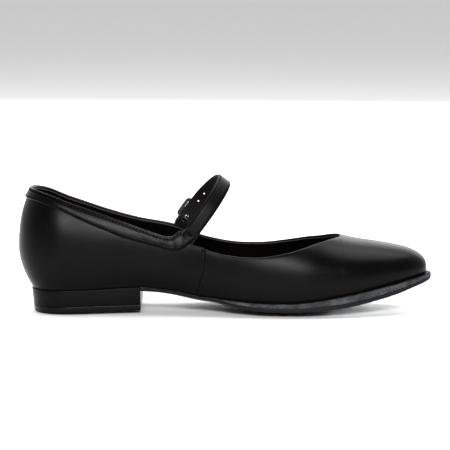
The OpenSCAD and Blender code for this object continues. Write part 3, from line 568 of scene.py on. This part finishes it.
def welt_material():
    g = Paint("welt_leather", IOR=1.18)
    speck = g.noise(2600, 3, 0.7)
    cloud = g.noise(160, 4)
    # Light grey speckle over near-black: the speckle is the edge's own texture, and its light tone is partly
    # a painted highlight for light from above on the upper half of the sole edge, over the darker outsole.
    g.color(g.ramp(g.math("ADD", g.math("MULTIPLY", speck, 0.7), g.math("MULTIPLY", cloud, 0.3)),
                   (0.42, (0.008, 0.009, 0.0098)), (0.52, (0.026, 0.029, 0.031)),
                   (0.6, (0.11, 0.118, 0.125))))
    g.rough(g.span(speck, 0.55, 0.75))
    g.normal(g.bump(speck, 1.2e-4, 0.7))
    return g.mat


def sole_material():
    g = Paint("sole_leather", IOR=1.2)
    cloud = g.noise(45, 5)
    fibre = g.noise(1, 5, 0.65, vec=g.scaled((700, 2400, 2400)))
    scuff = g.noise(1, 3, 0.6, vec=g.scaled((60, 420, 60)))
    col = g.ramp(cloud, (0.3, (0.004, 0.004, 0.0045)), (0.7, (0.007, 0.007, 0.0075)))
    g.color(g.blend(g.span(scuff, 0, 0.35, 0.6, 0.75), col, (0.014, 0.0135, 0.013)))
    g.rough(g.span(fibre, 0.36, 0.5, 0.3, 0.7))
    g.normal(g.bump(fibre, 3e-5, 0.5))
    return g.mat


M["welt"] = welt_material()
M["sole"] = sole_material()

# ---- camera, light, floor
def set_camera():
    cam = bpy.data.objects.new("camera", bpy.data.cameras.new("camera"))
    bpy.context.scene.collection.objects.link(cam)
    bpy.context.scene.camera = cam
    cam.location = (0, -1.38956, 0.22262)
    cam.rotation_mode = "QUATERNION"
    cam.rotation_quaternion = (Vector((0, 0, 0.052)) - cam.location).to_track_quat("-Z", "Y")
    cam.data.lens, cam.data.sensor_width = 181.8, 36
    cam.data.clip_start, cam.data.clip_end = 0.05, 200


def area(name, at, to, size, power):
    d = bpy.data.lights.new(name, "AREA")
    d.shape, d.size, d.size_y, d.energy = "RECTANGLE", size[0], size[1], power
    o = bpy.data.objects.new(name, d)
    bpy.context.scene.collection.objects.link(o)
    o.location = at
    o.rotation_mode = "QUATERNION"
    o.rotation_quaternion = (Vector(to) - Vector(at)).to_track_quat("-Z", "Y")


def set_light():
    view = bpy.context.scene.view_settings
    view.view_transform, view.look, view.exposure = "Standard", "None", 0.0
    world = bpy.data.worlds.new("studio")
    world.use_nodes = True
    bpy.context.scene.world = world
    t = world.node_tree
    bg = t.nodes["Background"]
    co = t.nodes.new("ShaderNodeTexCoord")
    sep = t.nodes.new("ShaderNodeSeparateXYZ")
    t.links.new(co.outputs["Generated"], sep.inputs[0])
    r = t.nodes.new("ShaderNodeMapRange")
    r.inputs["From Min"].default_value, r.inputs["From Max"].default_value = -0.5, 0.8
    r.inputs["To Min"].default_value, r.inputs["To Max"].default_value = 0.09, 1.3
    t.links.new(sep.outputs["Y"], r.inputs["Value"])
    t.links.new(r.outputs["Result"], bg.inputs["Strength"])
    bg.inputs["Color"].default_value = (1, 1, 1, 1)
    area("top_box", (0.1, 0.35, 1.5), (0, 0, 0), (1.8, 1.2), 36)
    area("rear_box", (0.15, 1.6, 0.75), (0, 0, 0.03), (2.2, 0.9), 16)
    area("key_box", (0.02, -1.9, 0.86), (-0.06, 0, 0.05), (0.5, 0.4), 50)


def make_floor():
    g = Paint("floor", IOR=1.3)
    g.bsdf.inputs["Base Color"].default_value = (0.93, 0.93, 0.93, 1)
    g.rough(g.span(g.noise(3, 2), 0.8, 0.86))
    me = bpy.data.meshes.new("floor")
    half = 60.0
    corners = [(-half, -half, 0), (half, -half, 0), (half, half, 0), (-half, half, 0)]
    me.from_pydata(corners, [], [(0, 1, 2, 3)])
    me.materials.append(g.mat)
    o = bpy.data.objects.new("floor", me)
    bpy.context.scene.collection.objects.link(o)
    o.location.z = -0.0002


set_camera()
set_light()
make_floor()


# ---- upper
def seam_round(d, r=0.7, deep=0.55):
    """How far a leather edge is rounded in at a distance from a seam."""
    t = np.clip(d / r, 0, 1)
    return deep * (1 - np.sqrt(1 - (1 - t) ** 2))


def crease(x, p):
    """Faint upright folds where the foot bends, as a depth."""
    k = 0.0
    for cx, w, d in ((176, 1.9, .02), (181, 1.5, .03), (184.5, 1.1, .025), (189, 1.6, .035),
                     (194.5, 1.3, .025), (199.5, 2.0, .02)):
        k += d * math.exp(-(((x - cx - 3.4 * math.sin(2.6 * p + cx)) / w) ** 2))
    return k * float(ease(p, 0.45, 0.9) * (1 - ease(p, 1.25, 1.65)))


SEAM_STEPS = np.array([0, 0.12, 0.25, 0.4, 0.6, 0.85, 1.2])  # close sections, for the rounded side seam


def vamp_stations():
    """Sections from the side seam to the toe, close together at the seam, the throat and the tip."""
    throat = 8.0
    xs = list(SEAM_X + 0.02 + SEAM_STEPS) + list(np.linspace(SEAM_X + 2.2, THROAT_X - throat, 60))
    xs += [THROAT_X - throat * (1 - t) ** 2 for t in np.linspace(0, 1, 16)[1:]]
    xs += list(np.linspace(THROAT_X, PLAN_X, 24)[1:])
    return xs + toe_xs(0, math.pi / 2, 34, 0.12)[1:]


def margin_rows(s, width, o, n=4):
    """The lasting margin, turned in under the foot."""
    r0 = s.half(0) - s.tuck
    out = []
    for k in np.linspace(1, 0, n + 1)[:-1]:
        r = r0 - min(width, 0.55 * r0) * k
        f = r / max(r0, 1e-6)
        out.append(s.place(r, s.zf + o - float(feather_dish(s.xe)) * (1 - f * f), 0))
    return np.array(out)


def open_shell(name, xs, v_rows, outer_at, inner_at, mat, margin=0.0, rise=0.6, drop=TOP_DROP, p0=0.0):
    """Leather shell over the toe: grids of both sides, with a rolled edge along the opening."""
    b = Build()
    vs = np.linspace(0, 1, v_rows)
    grids = []
    for side in (-1, 1):
        og, ig = [], []
        for s in (Station(x, side) for x in xs):
            orow, irow = [], []
            for v in vs:
                q = seam_shift(s, v)
                p = mix(p0, q.top(drop), v)
                orow.append(q.wall(p, outer_at(q, v, p)))
                irow.append(q.wall(p, inner_at(q, v, p)))
            if margin:
                orow = list(margin_rows(s, margin, 0.0)) + orow
                irow = list(margin_rows(s, margin, inner_at(s, 0, 0))) + irow
            og.append(orow)
            ig.append(irow)
        og, ig = np.array(og), np.array(ig)
        grids.append((og, ig))
        b.grid(og)
        b.grid(ig)
        b.grid(np.stack([og[0], ig[0]], 0))
        b.grid(np.stack([og[:, 0], ig[:, 0]], 0))
    n_open = sum(1 for x in xs if x < THROAT_X)
    edges = []
    for left, right in zip(*grids):
        edges.append(np.concatenate([left[: n_open + 1, -1], right[:n_open, -1][::-1]]))
    b.grid(rolled_edge(*edges, rise))
    for left, right in zip(*grids):
        b.grid(np.stack([left[-1], right[-1]], 0))
    return b.done(name, mat, smooth=50)


def make_vamp():
    def outer(s, v, p):
        lean = SEAM_LEAN * v * math.exp(-((s.x - 112) / SEAM_SPREAD) ** 2)
        return seam_round(max(0.0, s.x - SEAM_X - lean)) + crease(s.x, p)

    def inner(s, v, p):
        return LEATHER

    o = open_shell("vamp_leather", vamp_stations(), 40, outer, inner, M["upper"], margin=MARGIN)
    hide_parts("vamp")
    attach(o, "shoe")


def shell_rows(name, sts, rows_at, mat, smooth=50):
    """Closed band: rows_at(station) gives each station's loop of points, closed on itself."""
    g = np.array([rows_at(s) for s in sts])
    b = Build()
    b.grid(g, wrap=True)
    b.poly(g[0][::-1])
    b.poly(g[-1])
    return b.done(name, mat, smooth=smooth), g


def rolled_top(outer, inner_end, rise, n):
    """Points that carry a section over from the end of its outer face to its inner face."""
    up = unit(outer[-1] - outer[-2])
    turn = np.linspace(0, math.pi, n)[1:-1]
    return [mix(outer[-1], inner_end, (1 - math.cos(a)) / 2) + up * rise * math.sin(a) for a in turn]


def seam_distance(s):
    """How far a quarter's section lies from its own seam, at the side or at the back."""
    if s.phi is None:
        return SEAM_X - s.x
    return 0.6 * abs(90 - math.degrees(s.phi)) + 0.15


def quarter_loop(s, rows=30):
    """Loop of one quarter section: margin, outer face, rolled top, inner face."""
    ps = np.linspace(0, 1, rows)
    d = seam_round(seam_distance(s))
    outer = []
    for v in ps:
        q = seam_shift(s, v)
        outer.append(q.wall(v * q.top(TOP_DROP), d))
    inner = []
    for v in ps[::-1]:
        q = seam_shift(s, v)
        inner.append(q.wall(v * q.top(TOP_DROP), LEATHER))
    roll = rolled_top(outer, inner[0], 0.55, 7)
    mo, mi = margin_rows(s, MARGIN, 0.0), margin_rows(s, MARGIN, LEATHER)
    return np.array(list(mo) + outer + roll + inner + list(mi[::-1]))


def make_quarters():
    xs = list(SEAM_X - SEAM_STEPS) + list(np.linspace(SEAM_X - 2.5, HEEL_X + 0.5, 60))
    for name, node, side, start in (("quarter_inner", "quarter_medial", -1, 0),
                                    ("quarter_outer", "quarter_lateral", 1, 180)):
        sts = [Station(x, side) for x in xs] + fan(start, 90 + 0.25 * side, 40)
        o, _ = shell_rows(name, sts, quarter_loop, M["upper"])
        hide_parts(node)
        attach(o, "shoe")


LOW_ROW, HIGH_ROW = 1.75, 2.3  # the collar's stitch rows, from the band's lower and upper edge


def band_profile(t, high):
    """Outward thickness of the collar band over its height t, with a piped rim and the rows' grooves."""
    edge = np.minimum(t, 1 - t) * high
    body = 0.82 * np.sqrt(np.clip(1 - (1 - np.clip(edge / 0.7, 0, 1)) ** 2, 0, 1))
    pipe = 0.28 * np.exp(-(((t * high - 0.9) / 0.45) ** 2))
    low_row = 0.16 * np.exp(-(((t * high - LOW_ROW) / 0.3) ** 2))
    high_row = 0.16 * np.exp(-((((1 - t) * high - HIGH_ROW) / 0.35) ** 2))
    puff = 0.14 * np.sin(np.pi * t) ** 2
    return np.clip(body + pipe - low_row - high_row + puff, 0.0, 1.3)


def band_crease(s, t):
    """Small slanting folds where the band is drawn in, most of them near the raised tab."""
    if s.phi is not None:
        return 0.0 * t
    near = float(ease(s.x, 58, 80)) if s.side < 0 else 0.4
    k = 0.0
    for cx, w, d, lean in ((62, 1.5, .1, 3), (69, 1.3, .12, -3), (76, 1.4, .16, 4), (82, 1.1, .14, -3),
                           (87, 1.3, .2, 4), (91.5, 1.0, .18, -2), (95.5, 1.2, .16, 3), (101, 1.3, .12, -2)):
        k = k + d * np.exp(-(((s.x - cx + lean * (t - 0.5)) / w) ** 2))
    return k * near


def band_edges(s):
    lo = s.two(band_low, band_low_out)
    hi = s.two(band_high_in, top_out)
    return lo, hi


def make_band():
    side = list(np.linspace(88, HEEL_X + .5, 50))
    xin = [109.35, 109.2, 108.9, 108.4] + list(np.linspace(107.8, 89, 34)) + side
    xout = side[::-1] + list(np.linspace(89, 106, 26)) + [106.3, 106.6, 106.8]
    sts = [Station(x, -1) for x in xin] + fan(0, 180, 81) + [Station(x, 1) for x in xout]
    n = 26
    t = (1 - np.cos(np.linspace(0, math.pi, n))) / 2 * 0.4 + np.linspace(0, 1, n) * 0.6

    def loop(s):
        lo, hi = band_edges(s)
        ps = s.par(lo + (hi - lo) * t)
        high = max(0.3, float(np.linalg.norm(np.diff(s.wall(ps), axis=0), axis=1).sum()))
        th = band_profile(t, high) + 0.06
        th = th - band_crease(s, t) * np.clip(np.minimum(t, 1 - t) * high / 1.2, 0, 1)
        out = s.wall(ps, 0)
        nrm = unit(s.wall(ps, -1.0) - out)
        return np.concatenate([out + nrm * th[:, None], (out + nrm * 0.02)[::-1]])

    o, g = shell_rows("collar_band_leather", sts, loop, M["upper"], smooth=60)
    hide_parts("collar_band")
    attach(o, "shoe")
    outer = g[:, :n]
    for name in ("upper", "lower"):
        line, nrm = [], []
        for s, row in zip(sts, outer):
            d = np.r_[0, np.cumsum(np.linalg.norm(np.diff(row, axis=0), axis=1))]
            if d[-1] < 5.2:
                continue
            w = d[-1] - HIGH_ROW if name == "upper" else LOW_ROW
            line.append([np.interp(w, d, row[:, k]) for k in range(3)])
            nrm.append(unit(s.wall(1.2, -1) - s.wall(1.2, 0)))
        line, nrm = np.array(line), np.array(nrm)
        for st in stitch_row("collar_stitches_" + name, line, nrm, M["thread"], lift=0.12):
            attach(st, "shoe")


def on_band(x, z, lift=1.0):
    """Point over the inner side at a height z, lifted off the leather."""
    s = Station(x, -1)
    return s.wall(s.par(z), -lift)


def make_tack():
    """Box stitch that holds the strap in the tab, and the bar tack at the top of the side seam."""
    box = [(107.2, 48.3), (105.1, 45.6), (101.4, 48.3), (103.5, 51.0), (107.2, 48.3)]
    steps = np.linspace(0, 1, 12)[:-1]
    pts = [mix(np.array(a), np.array(b), t) for a, b in zip(box, box[1:]) for t in steps]
    line = np.array([on_band(*q) for q in pts])
    nrm = np.array([on_band(*q, 2.0) - on_band(*q) for q in pts])
    for o in stitch_row("tab_box_stitches", line, nrm, M["thread"], pitch=1.55, length=1.0, r=0.16, lift=0.06,
                        wide=0.3):
        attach(o, "shoe")
    b = Build()
    for k in range(5):
        x = 113.0 + 0.42 * k
        z = float(top_in(x)) - 1.5
        bar = [on_band(x, z - 0.7, 0.12), on_band(x, z, 0.3), on_band(x, z + 0.7, 0.12)]
        b.raw(*tube(bar, 0.25, 8, [0.5, 1, 0.5]))
    o = b.done("side_seam_tack", M["thread"], smooth=80)
    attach(o, "shoe")


def tab_zone(x):
    """1 where the strap's root lies between leather and lining on the inner side."""
    return float(ease(x, 90, 96) * (1 - ease(x, 116, 124)))


def room(s):
    """1 where a stiffener or the strap's root lies between leather and lining, 0 where nothing does."""
    x = s.xe
    r = max(float(ease(x, 204, 213)) if s.phi is None else 0.0, 1 - float(ease(x, 68, 78)))
    return max(r, tab_zone(x)) if s.side < 0 else r


LINE_AT = LEATHER + GAP
LINE_DEEP = LINE_AT + STIFFENER + GAP


def lining_depth(s, v):
    zone = tab_zone(s.xe) if s.side < 0 else 0.0
    k = room(s) * max(1 - float(ease(v, .74, .95)), zone)
    return mix(LINE_AT, LINE_DEEP, k)


def quarter_lining_loop(s):
    """Loop of one section of the quarters' lining."""
    out, inn = [], []
    for v in np.linspace(0.06, 1, 28):
        q = seam_shift(s, v)
        depth = lining_depth(s, v)
        p = v * q.top(LINING_DROP)
        out.append(q.wall(p, depth))
        inn.append(q.wall(p, depth + LINING))
    return np.array(out + rolled_top(out, inn[-1], 0.3, 5) + inn[::-1])


def lining_rim(sts):
    """Line along the lining's upper edge."""
    tops = [seam_shift(s, 1.0) for s in sts]
    return [q.wall(q.top(LINING_DROP), LINE_AT + LINING / 2) + np.array([0, 0, 0.1]) for q in tops]


def make_linings():
    def outer(s, v, p):
        return mix(LINE_AT, LINE_DEEP, room(s))

    def inner(s, v, p):
        return outer(s, v, p) + LINING

    xs = vamp_stations()
    o = open_shell("vamp_lining_leather", xs, 30, outer, inner, M["lining"], drop=LINING_DROP, rise=0.3,
                   p0=0.06)
    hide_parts("vamp_lining")
    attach(o, "shoe")
    side = np.linspace(SEAM_X, HEEL_X + .5, 60)
    sts = [Station(x, -1) for x in side] + fan(0, 180, 81) + [Station(x, 1) for x in side[::-1]]
    fore = [x for x in xs if x < THROAT_X][::2]
    front = [Station(x, -1) for x in fore] + [Station(x, 1) for x in fore[::-1]]
    for name, line in (("quarter_lining_edge", lining_rim(sts)), ("vamp_lining_edge", lining_rim(front))):
        b = Build()
        b.raw(*tube(line, 0.33, 8))
        e = b.done(name, M["lining_edge"], smooth=80)
        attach(e, "shoe")
    o, _ = shell_rows("quarter_lining_leather", sts, quarter_lining_loop, M["lining"])
    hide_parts("quarter_lining")
    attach(o, "shoe")


# ---- bottom
def edge_pt(s, e):
    """Plan point on the feather line, moved out by e."""
    return s.wall(0.0, -e)[..., :2]


def st_at(x, y):
    return Station(min(max(x, HEEL_X), TOE_X - 0.3), -1 if y < y_mid(x) else 1)


def side_frac(x, y, e):
    """How far (x, y) lies from the middle line, as a share of the way to the edge."""
    if x < HEEL_X:
        p = edge_pt(Station(phi=math.atan2(HEEL_X - x, -y)), e)
        return min(1.0, math.hypot(x - HEEL_X, y) / math.hypot(p[0] - HEEL_X, p[1]))
    s = st_at(x, y)
    q = abs(edge_pt(s, e)[1] - y_mid(s.x))
    return min(1.0, abs(y - y_mid(s.x)) / max(q, 3.0))


def z_feather(x, y):
    return float(feather(x)) - float(feather_dish(x)) * (1 - side_frac(x, y, 0) ** 2)


def z_sole(x, y):
    return float(sole_low(x)) - float(sole_dish(x)) * (1 - side_frac(x, y, LEDGE * float(ledge_grow(x))) ** 2)


def z_split(x, y):
    """Where the outsole ends and the welt begins."""
    a, b = z_sole(x, y), z_feather(x, y)
    return a + min(float(sole_share(x)) * (b - a), float(sole_cap(x)))


def slab(name, pairs, e1, e2, lo, hi, mat, across=24, bevel=0.4, smooth=50):
    """Plate between two outlines and two surfaces, its rims rounded by bevel."""
    b = Build()
    low, high, sides = [], [], [[], []]
    n = 4
    ts = np.linspace(0, 1, across + 1)
    for s1, s2 in pairs:
        rows = {}
        for key, e, f in (("low", e1, lo), ("high", e2, hi)):
            pa, pb = edge_pt(s1, e(s1) - bevel), edge_pt(s2, e(s2) - bevel)
            rows[key] = np.array([[*(q := mix(pa, pb, t)), f(q[0], q[1])] for t in ts])
        low.append(rows["low"])
        high.append(rows["high"])
        for k, s in enumerate((s1, s2)):
            i = 0 if k == 0 else -1
            a, c = rows["low"][i], rows["high"][i]
            rim = []
            for w in np.linspace(0, math.pi / 2, n):
                q = edge_pt(s, e1(s) - bevel * (1 - math.sin(w)))
                rim.append([q[0], q[1], a[2] + bevel * (1 - math.cos(w))])
            for w in np.linspace(math.pi / 2, 0, n):
                q = edge_pt(s, e2(s) - bevel * (1 - math.sin(w)))
                rim.append([q[0], q[1], c[2] - bevel * (1 - math.cos(w))])
            sides[k].append(rim)
    low, high = np.array(low), np.array(high)
    b.grid(low)
    b.grid(high)
    for k in (0, 1):
        b.grid(np.array(sides[k]))
    for end in (0, -1):
        right, left = np.array(sides[1][end][1:-1]), np.array(sides[0][end][1:-1])
        b.poly(np.concatenate([low[end], right, high[end][::-1], left[::-1]]))
    return b.done(name, mat, smooth=smooth)


def pairs_x(xs):
    return [(Station(x, -1), Station(x, 1)) for x in xs]


def heel_pairs(n=40):
    angles = 89 * np.cos(np.linspace(0, math.pi / 2, n))[:-1]
    return [(Station(phi=math.radians(a)), Station(phi=math.radians(180 - a))) for a in angles]


def fore_xs(x0):
    return list(np.linspace(x0, PLAN_X, 70)) + toe_xs(0, math.pi / 2, 26)[1:]


def sole_e(s):
    """How far the sole's ledge stands out."""
    return LEDGE * float(ledge_grow(s.x))


def cut(o, cutter):
    md = o.modifiers.new("cut", "BOOLEAN")
    md.object, md.operation, md.solver = cutter, "DIFFERENCE", "EXACT"
    bpy.context.view_layer.objects.active = o
    bpy.ops.object.modifier_apply(modifier="cut")
    bpy.data.objects.remove(cutter)


HEEL_FRONT = 75.5
TAP_DEEP = 1.7  # depth of the pockets for the taps
TOE_TAP_X, TOE_TAP_IN = 188.2, 4.0  # back edge of the toe tap's pocket, and the tap's distance from the edge
HEEL_TAP_X, HEEL_TAP_IN = 37.65, 2.45


def make_outsole():
    o = slab("outsole_leather", pairs_x(fore_xs(HEEL_FRONT + 0.3)), lambda s: sole_e(s) - 0.4, sole_e, z_sole,
             z_split, M["sole"], bevel=0.45)

    def inset(s):
        return GAP - TOE_TAP_IN

    tool = slab("tool", pairs_x(fore_xs(TOE_TAP_X)), inset, inset, lambda x, y: z_sole(x, y) - 3,
                lambda x, y: z_sole(x, y) + TAP_DEEP, M["sole"], bevel=0.01)
    cut(o, tool)
    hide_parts("outsole")
    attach(o, "shoe")


def make_welt():
    """Strip round the forepart, its upper face wheeled with fine ribs."""
    xs = list(np.arange(116, PLAN_X, 0.28)) + toe_xs(0, math.pi / 2, 150)[1:]
    sts = [Station(x, 1) for x in xs] + [Station(x, -1) for x in xs[::-1]]
    grow = 0.0
    prev = None
    g = []
    for s in sts:
        e, end = sole_e(s), float(ease(s.x, 116, 130))
        q = edge_pt(s, e)
        if prev is not None:
            grow += float(np.linalg.norm(q - prev))
        prev = q
        rib = 0.11 * end * math.cos(2 * math.pi * grow / 1.05)
        zt = s.zf - 0.25 - 0.5 * float(ease(s.x, 226, 249))
        zl = z_split(q[0], q[1]) + 0.03
        bev = 0.5 * end
        top = max(zl + 0.15, zt)
        section = ((-2.2, zl), (e - 0.25 * end, zl), (e, zl + 0.2), (e + rib * 0.5, max(zl + 0.22, zt - bev)),
                   (e - 0.2 * bev, max(zl + 0.24, zt - 0.4 * bev) + rib * 0.3), (e - bev, top + rib),
                   (e * 0.55, top + rib), (e * 0.38, top - 0.25 * end), (0.1, top - 0.75 * end),
                   (-2.2, top - 0.8 * end))
        g.append([[*edge_pt(s, out), z] for out, z in section])
    b = Build()
    g = np.array(g)
    b.grid(g, wrap=True)
    b.poly(g[0][::-1])
    b.poly(g[-1])
    o = b.done("welt_strip", M["welt"], smooth=60)
    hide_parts("welt")
    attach(o, "shoe")


def heel_low(x):
    """The top piece's lower face, which rises towards its front."""
    return max(0.0, (x - 40) / (HEEL_FRONT - 40) * 2.4)


def top_piece_z(x):
    return 4 + 1.6 * (x - 9) / (HEEL_FRONT - 9)


def heel_tap_pocket():
    """Cutter in the outline of the heel tap."""
    inner = [edge_pt(s, -HEEL_TAP_IN) for s in fan(88, 0, 40)]
    outer = [edge_pt(s, -HEEL_TAP_IN) for s in fan(180, 92, 40)]
    ring = inner + [(HEEL_TAP_X, inner[-1][1]), (HEEL_TAP_X, outer[0][1])] + outer
    low = [[*p, -1.0] for p in ring]
    high = [[*p, TAP_DEEP] for p in ring]
    b = Build()
    b.grid(np.array([low, high]), wrap=True)
    b.poly(low)
    b.poly(high[::-1])
    return b.done("tool", M["top_piece"])


def make_heel():
    pairs = heel_pairs() + pairs_x(np.linspace(HEEL_X, HEEL_FRONT, 30))
    o = slab("heel_cover", pairs, lambda s: -0.2, lambda s: 0.8, lambda x, y: top_piece_z(x) + 0.12,
             lambda x, y: z_feather(x, y) - 0.1, M["heel"], bevel=0.3)
    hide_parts("heel_block")
    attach(o, "shoe")
    o = slab("top_piece_rubber", pairs, lambda s: -0.8, lambda s: -0.2, lambda x, y: heel_low(x),
             lambda x, y: top_piece_z(x), M["top_piece"], bevel=0.35)
    cut(o, heel_tap_pocket())
    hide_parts("top_piece")
    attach(o, "shoe")


BOARD_UP, BOARD, SOCK = 0.27, 1.7, 1.2  # insole board over the margin, its thickness, the sock's


def make_sock():
    front = [x for x in toe_xs(-0.4, math.pi / 2, 24)[:-1] if x < 243]
    pairs = heel_pairs() + pairs_x(np.linspace(HEEL_X, 210, 80)) + pairs_x(front)

    def inset(s):
        return -(LINE_DEEP + LINING + 0.3)

    def low(x, y):
        return z_feather(x, y) + LEATHER + BOARD_UP + BOARD + 0.1 + 0.5 * float(ease(x, 222, 247))

    def high(x, y):
        heel_hollow = 0.25 * math.exp(-((x - 30) / 20) ** 2 - (y / 14) ** 2)
        return low(x, y) + SOCK - heel_hollow

    o = slab("sock_leather", pairs, inset, inset, low, high, M["lining"], bevel=0.3)
    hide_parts("sock_lining")
    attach(o, "shoe")


# ---- strap and buckle
# The strap lies in a plane that leans by TILT: y runs across the shoe, u up along the strap, w across it.
TILT = math.radians(36.8699)
HINGE = (-23.5, 106.0)  # (y, u) of the strap's root
BAR = (32.4, 103.0)  # (y, u) of the buckle's bar
WIRE_R, STRAP_T, STRAP_W = 0.8, 0.85, 9.0
PLY_GAP = 0.03  # from the strap's middle line to its leather and to its lining
APEX = (0, 140.1)  # highest point of the strap
ARC_TOP, STRAP_END = 117, 95  # u where the strap's last, round stretch begins and ends
CENTRE_W = 53.2  # w of the strap's middle line at y = 0
ARC_R = math.hypot(BAR[0] + WIRE_R + 0.05 + 0.8 + 0.25 + STRAP_T + 0.05 - HINGE[0], BAR[1] - HINGE[1])


def wc(y):
    """w of the strap's middle line, which runs slightly askew."""
    return CENTRE_W - 0.085 * y


def world(w, y, u):
    """From the strap's leaning plane to x, y, z."""
    c, s = math.cos(TILT), math.sin(TILT)
    return np.array([c * w + s * u, y, c * u - s * w])


def arc_pt(u):
    return np.array([HINGE[0] + math.sqrt(ARC_R**2 - (u - HINGE[1]) ** 2), u])


def bez(a, b, c, d, t):
    a, b, c, d = map(np.asarray, (a, b, c, d))
    return a * (1 - t) ** 3 + b * 3 * t * (1 - t) ** 2 + c * 3 * t**2 * (1 - t) + d * t**3


def strap_line():
    top = arc_pt(ARC_TOP)
    d = np.array([-(top[1] - HINGE[1]), top[0] - HINGE[0]]) / ARC_R
    n = 44
    a = [bez(HINGE, (-25, 123), (-15, APEX[1]), APEX, t) for t in np.linspace(0, 1, n)]
    b = [bez(APEX, (14, APEX[1]), top + 13 * d, top, t) for t in np.linspace(0, 1, n)[1:]]
    c = [arc_pt(u) for u in np.linspace(ARC_TOP, STRAP_END, 40)[1:]]
    return np.array(a + b + c)


def strap_half(p):
    """Half width of the strap, rounded off over its last 4 mm."""
    d = p[1] - STRAP_END
    if p[0] < 0 or d > 4:
        return STRAP_W / 2
    return STRAP_W / 2 * math.sqrt(max(0.05, 1 - ((4 - d) / 4.2) ** 2))


def strap_piece(name, t0, t1, mat, grooved, root_u):
    """One ply of the strap, from the root at height root_u to the strap's end, between depths t0 and t1."""
    root = [[HINGE[0] + 0.02 * (HINGE[1] - u), u] for u in np.linspace(root_u, HINGE[1], 8)[:-1]]
    line = np.concatenate([root, strap_line()])
    d = tangents(line)
    nrm = np.stack([-d[:, 1], d[:, 0]], 1)
    s = np.linspace(-1, 1, 15)
    prof = 1 - np.abs(s) ** 6 * 0.9
    g = []
    for p, n in zip(line, nrm):
        h, c = strap_half(p), wc(p[0])
        top, bot = [], []
        for k, w in enumerate(s):
            groove = 0.14 * math.exp(-(((abs(w) - 0.72) / 0.07) ** 2)) if grooved else 0
            hi = mix(t0, t1, prof[k]) - groove * prof[k]
            q = p + n * hi
            top.append(world(c + h * w, *q))
        for w in s[::-1]:
            q = p + n * t0
            bot.append(world(c + h * w * 0.985, *q))
        g.append(top + bot)
    g = np.array(g)
    b = Build()
    b.grid(g, wrap=True)
    b.poly(g[0][::-1])
    b.poly(g[-1])
    return b.done(name, mat, smooth=60), line, nrm


def punch(o):
    """The prong's slot and three round holes."""
    tools = []
    for u in (110.4, 116.6, 122.8):
        tools.append(tube([world(wc(34), 24, u), world(wc(34), 40, u)], 0.5, 20))
    ring = []
    for u, start in ((104.85, 0), (102.05, math.pi)):
        turn = np.linspace(start, start + math.pi, 13)
        ring += [(0.85 * math.cos(a), u + 0.85 * math.sin(a)) for a in turn]
    near = [world(wc(34) + w, 27, u) for w, u in ring]
    far = [world(wc(34) + w, 41, u) for w, u in ring]
    n = len(ring)
    caps = [tuple(reversed(range(n))), tuple(range(n, 2 * n))]
    tools.append((np.array(near + far), grid_faces(2, n, wrap=True) + caps))
    for v, f in tools:
        cut(o, mesh_object("tool", v, f, M["strap"]))


def blend_strap(o):
    """Bakes the object's transform into its mesh."""
    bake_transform(o)


def make_strap():
    o, line, nrm = strap_piece("strap_leather_piece", PLY_GAP, PLY_GAP + STRAP_T, M["strap"], True, 101.5)
    punch(o)
    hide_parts("strap")
    blend_strap(o)
    o2, *_ = strap_piece("strap_lining_piece", -PLY_GAP - STRAP_T, -PLY_GAP, M["strap_lining"], False, 103.5)
    punch(o2)
    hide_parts("strap_lining")
    blend_strap(o2)
    for k, side in enumerate((-1, 1)):
        pts, ns = [], []
        for p, n in zip(line, nrm):
            if p[1] < 97.5 and p[0] > 0 or (p[0] < 0 and p[1] < 105):
                continue
            h, c = strap_half(p), wc(p[0])
            q = p + n * (PLY_GAP + STRAP_T - 0.1)
            pts.append(world(c + side * h * 0.74, *q))
            ns.append(world(0, *n))
        pts, ns = np.array(pts), np.array(ns)
        for st in stitch_row(f"strap_stitches_{k}", pts, ns, M["thread"], pitch=2.1, length=1.4, r=0.18,
                             lift=0.07, wide=0.36):
            blend_strap(st)


def set_material(o, mat):
    if not o.data.materials:
        o.data.materials.append(mat)
    for slot in o.material_slots:
        slot.material = mat


def finish_cad():
    """Better materials on the CAD nodes that stay as they are."""
    for key, names in (("tap", ("toe_tap", "heel_tap")),
                       ("screw", ("toe_tap_screws", "heel_tap_screws", "heel_nails")),
                       ("buckle", ("buckle_frame", "buckle_prong")), ("strap", ("buckle_tab", "strap_root")),
                       ("stiffener", ("toe_puff",)), ("counter", ("heel_counter",)),
                       ("board", ("insole_board",)), ("shank", ("shank",)), ("cork", ("bottom_filler",))):
        for node in names:
            set_material(nodes[node], M[key])


make_vamp()
make_quarters()
make_band()
make_tack()
make_linings()
make_outsole()
make_welt()
make_heel()
make_sock()
make_strap()
finish_cad()
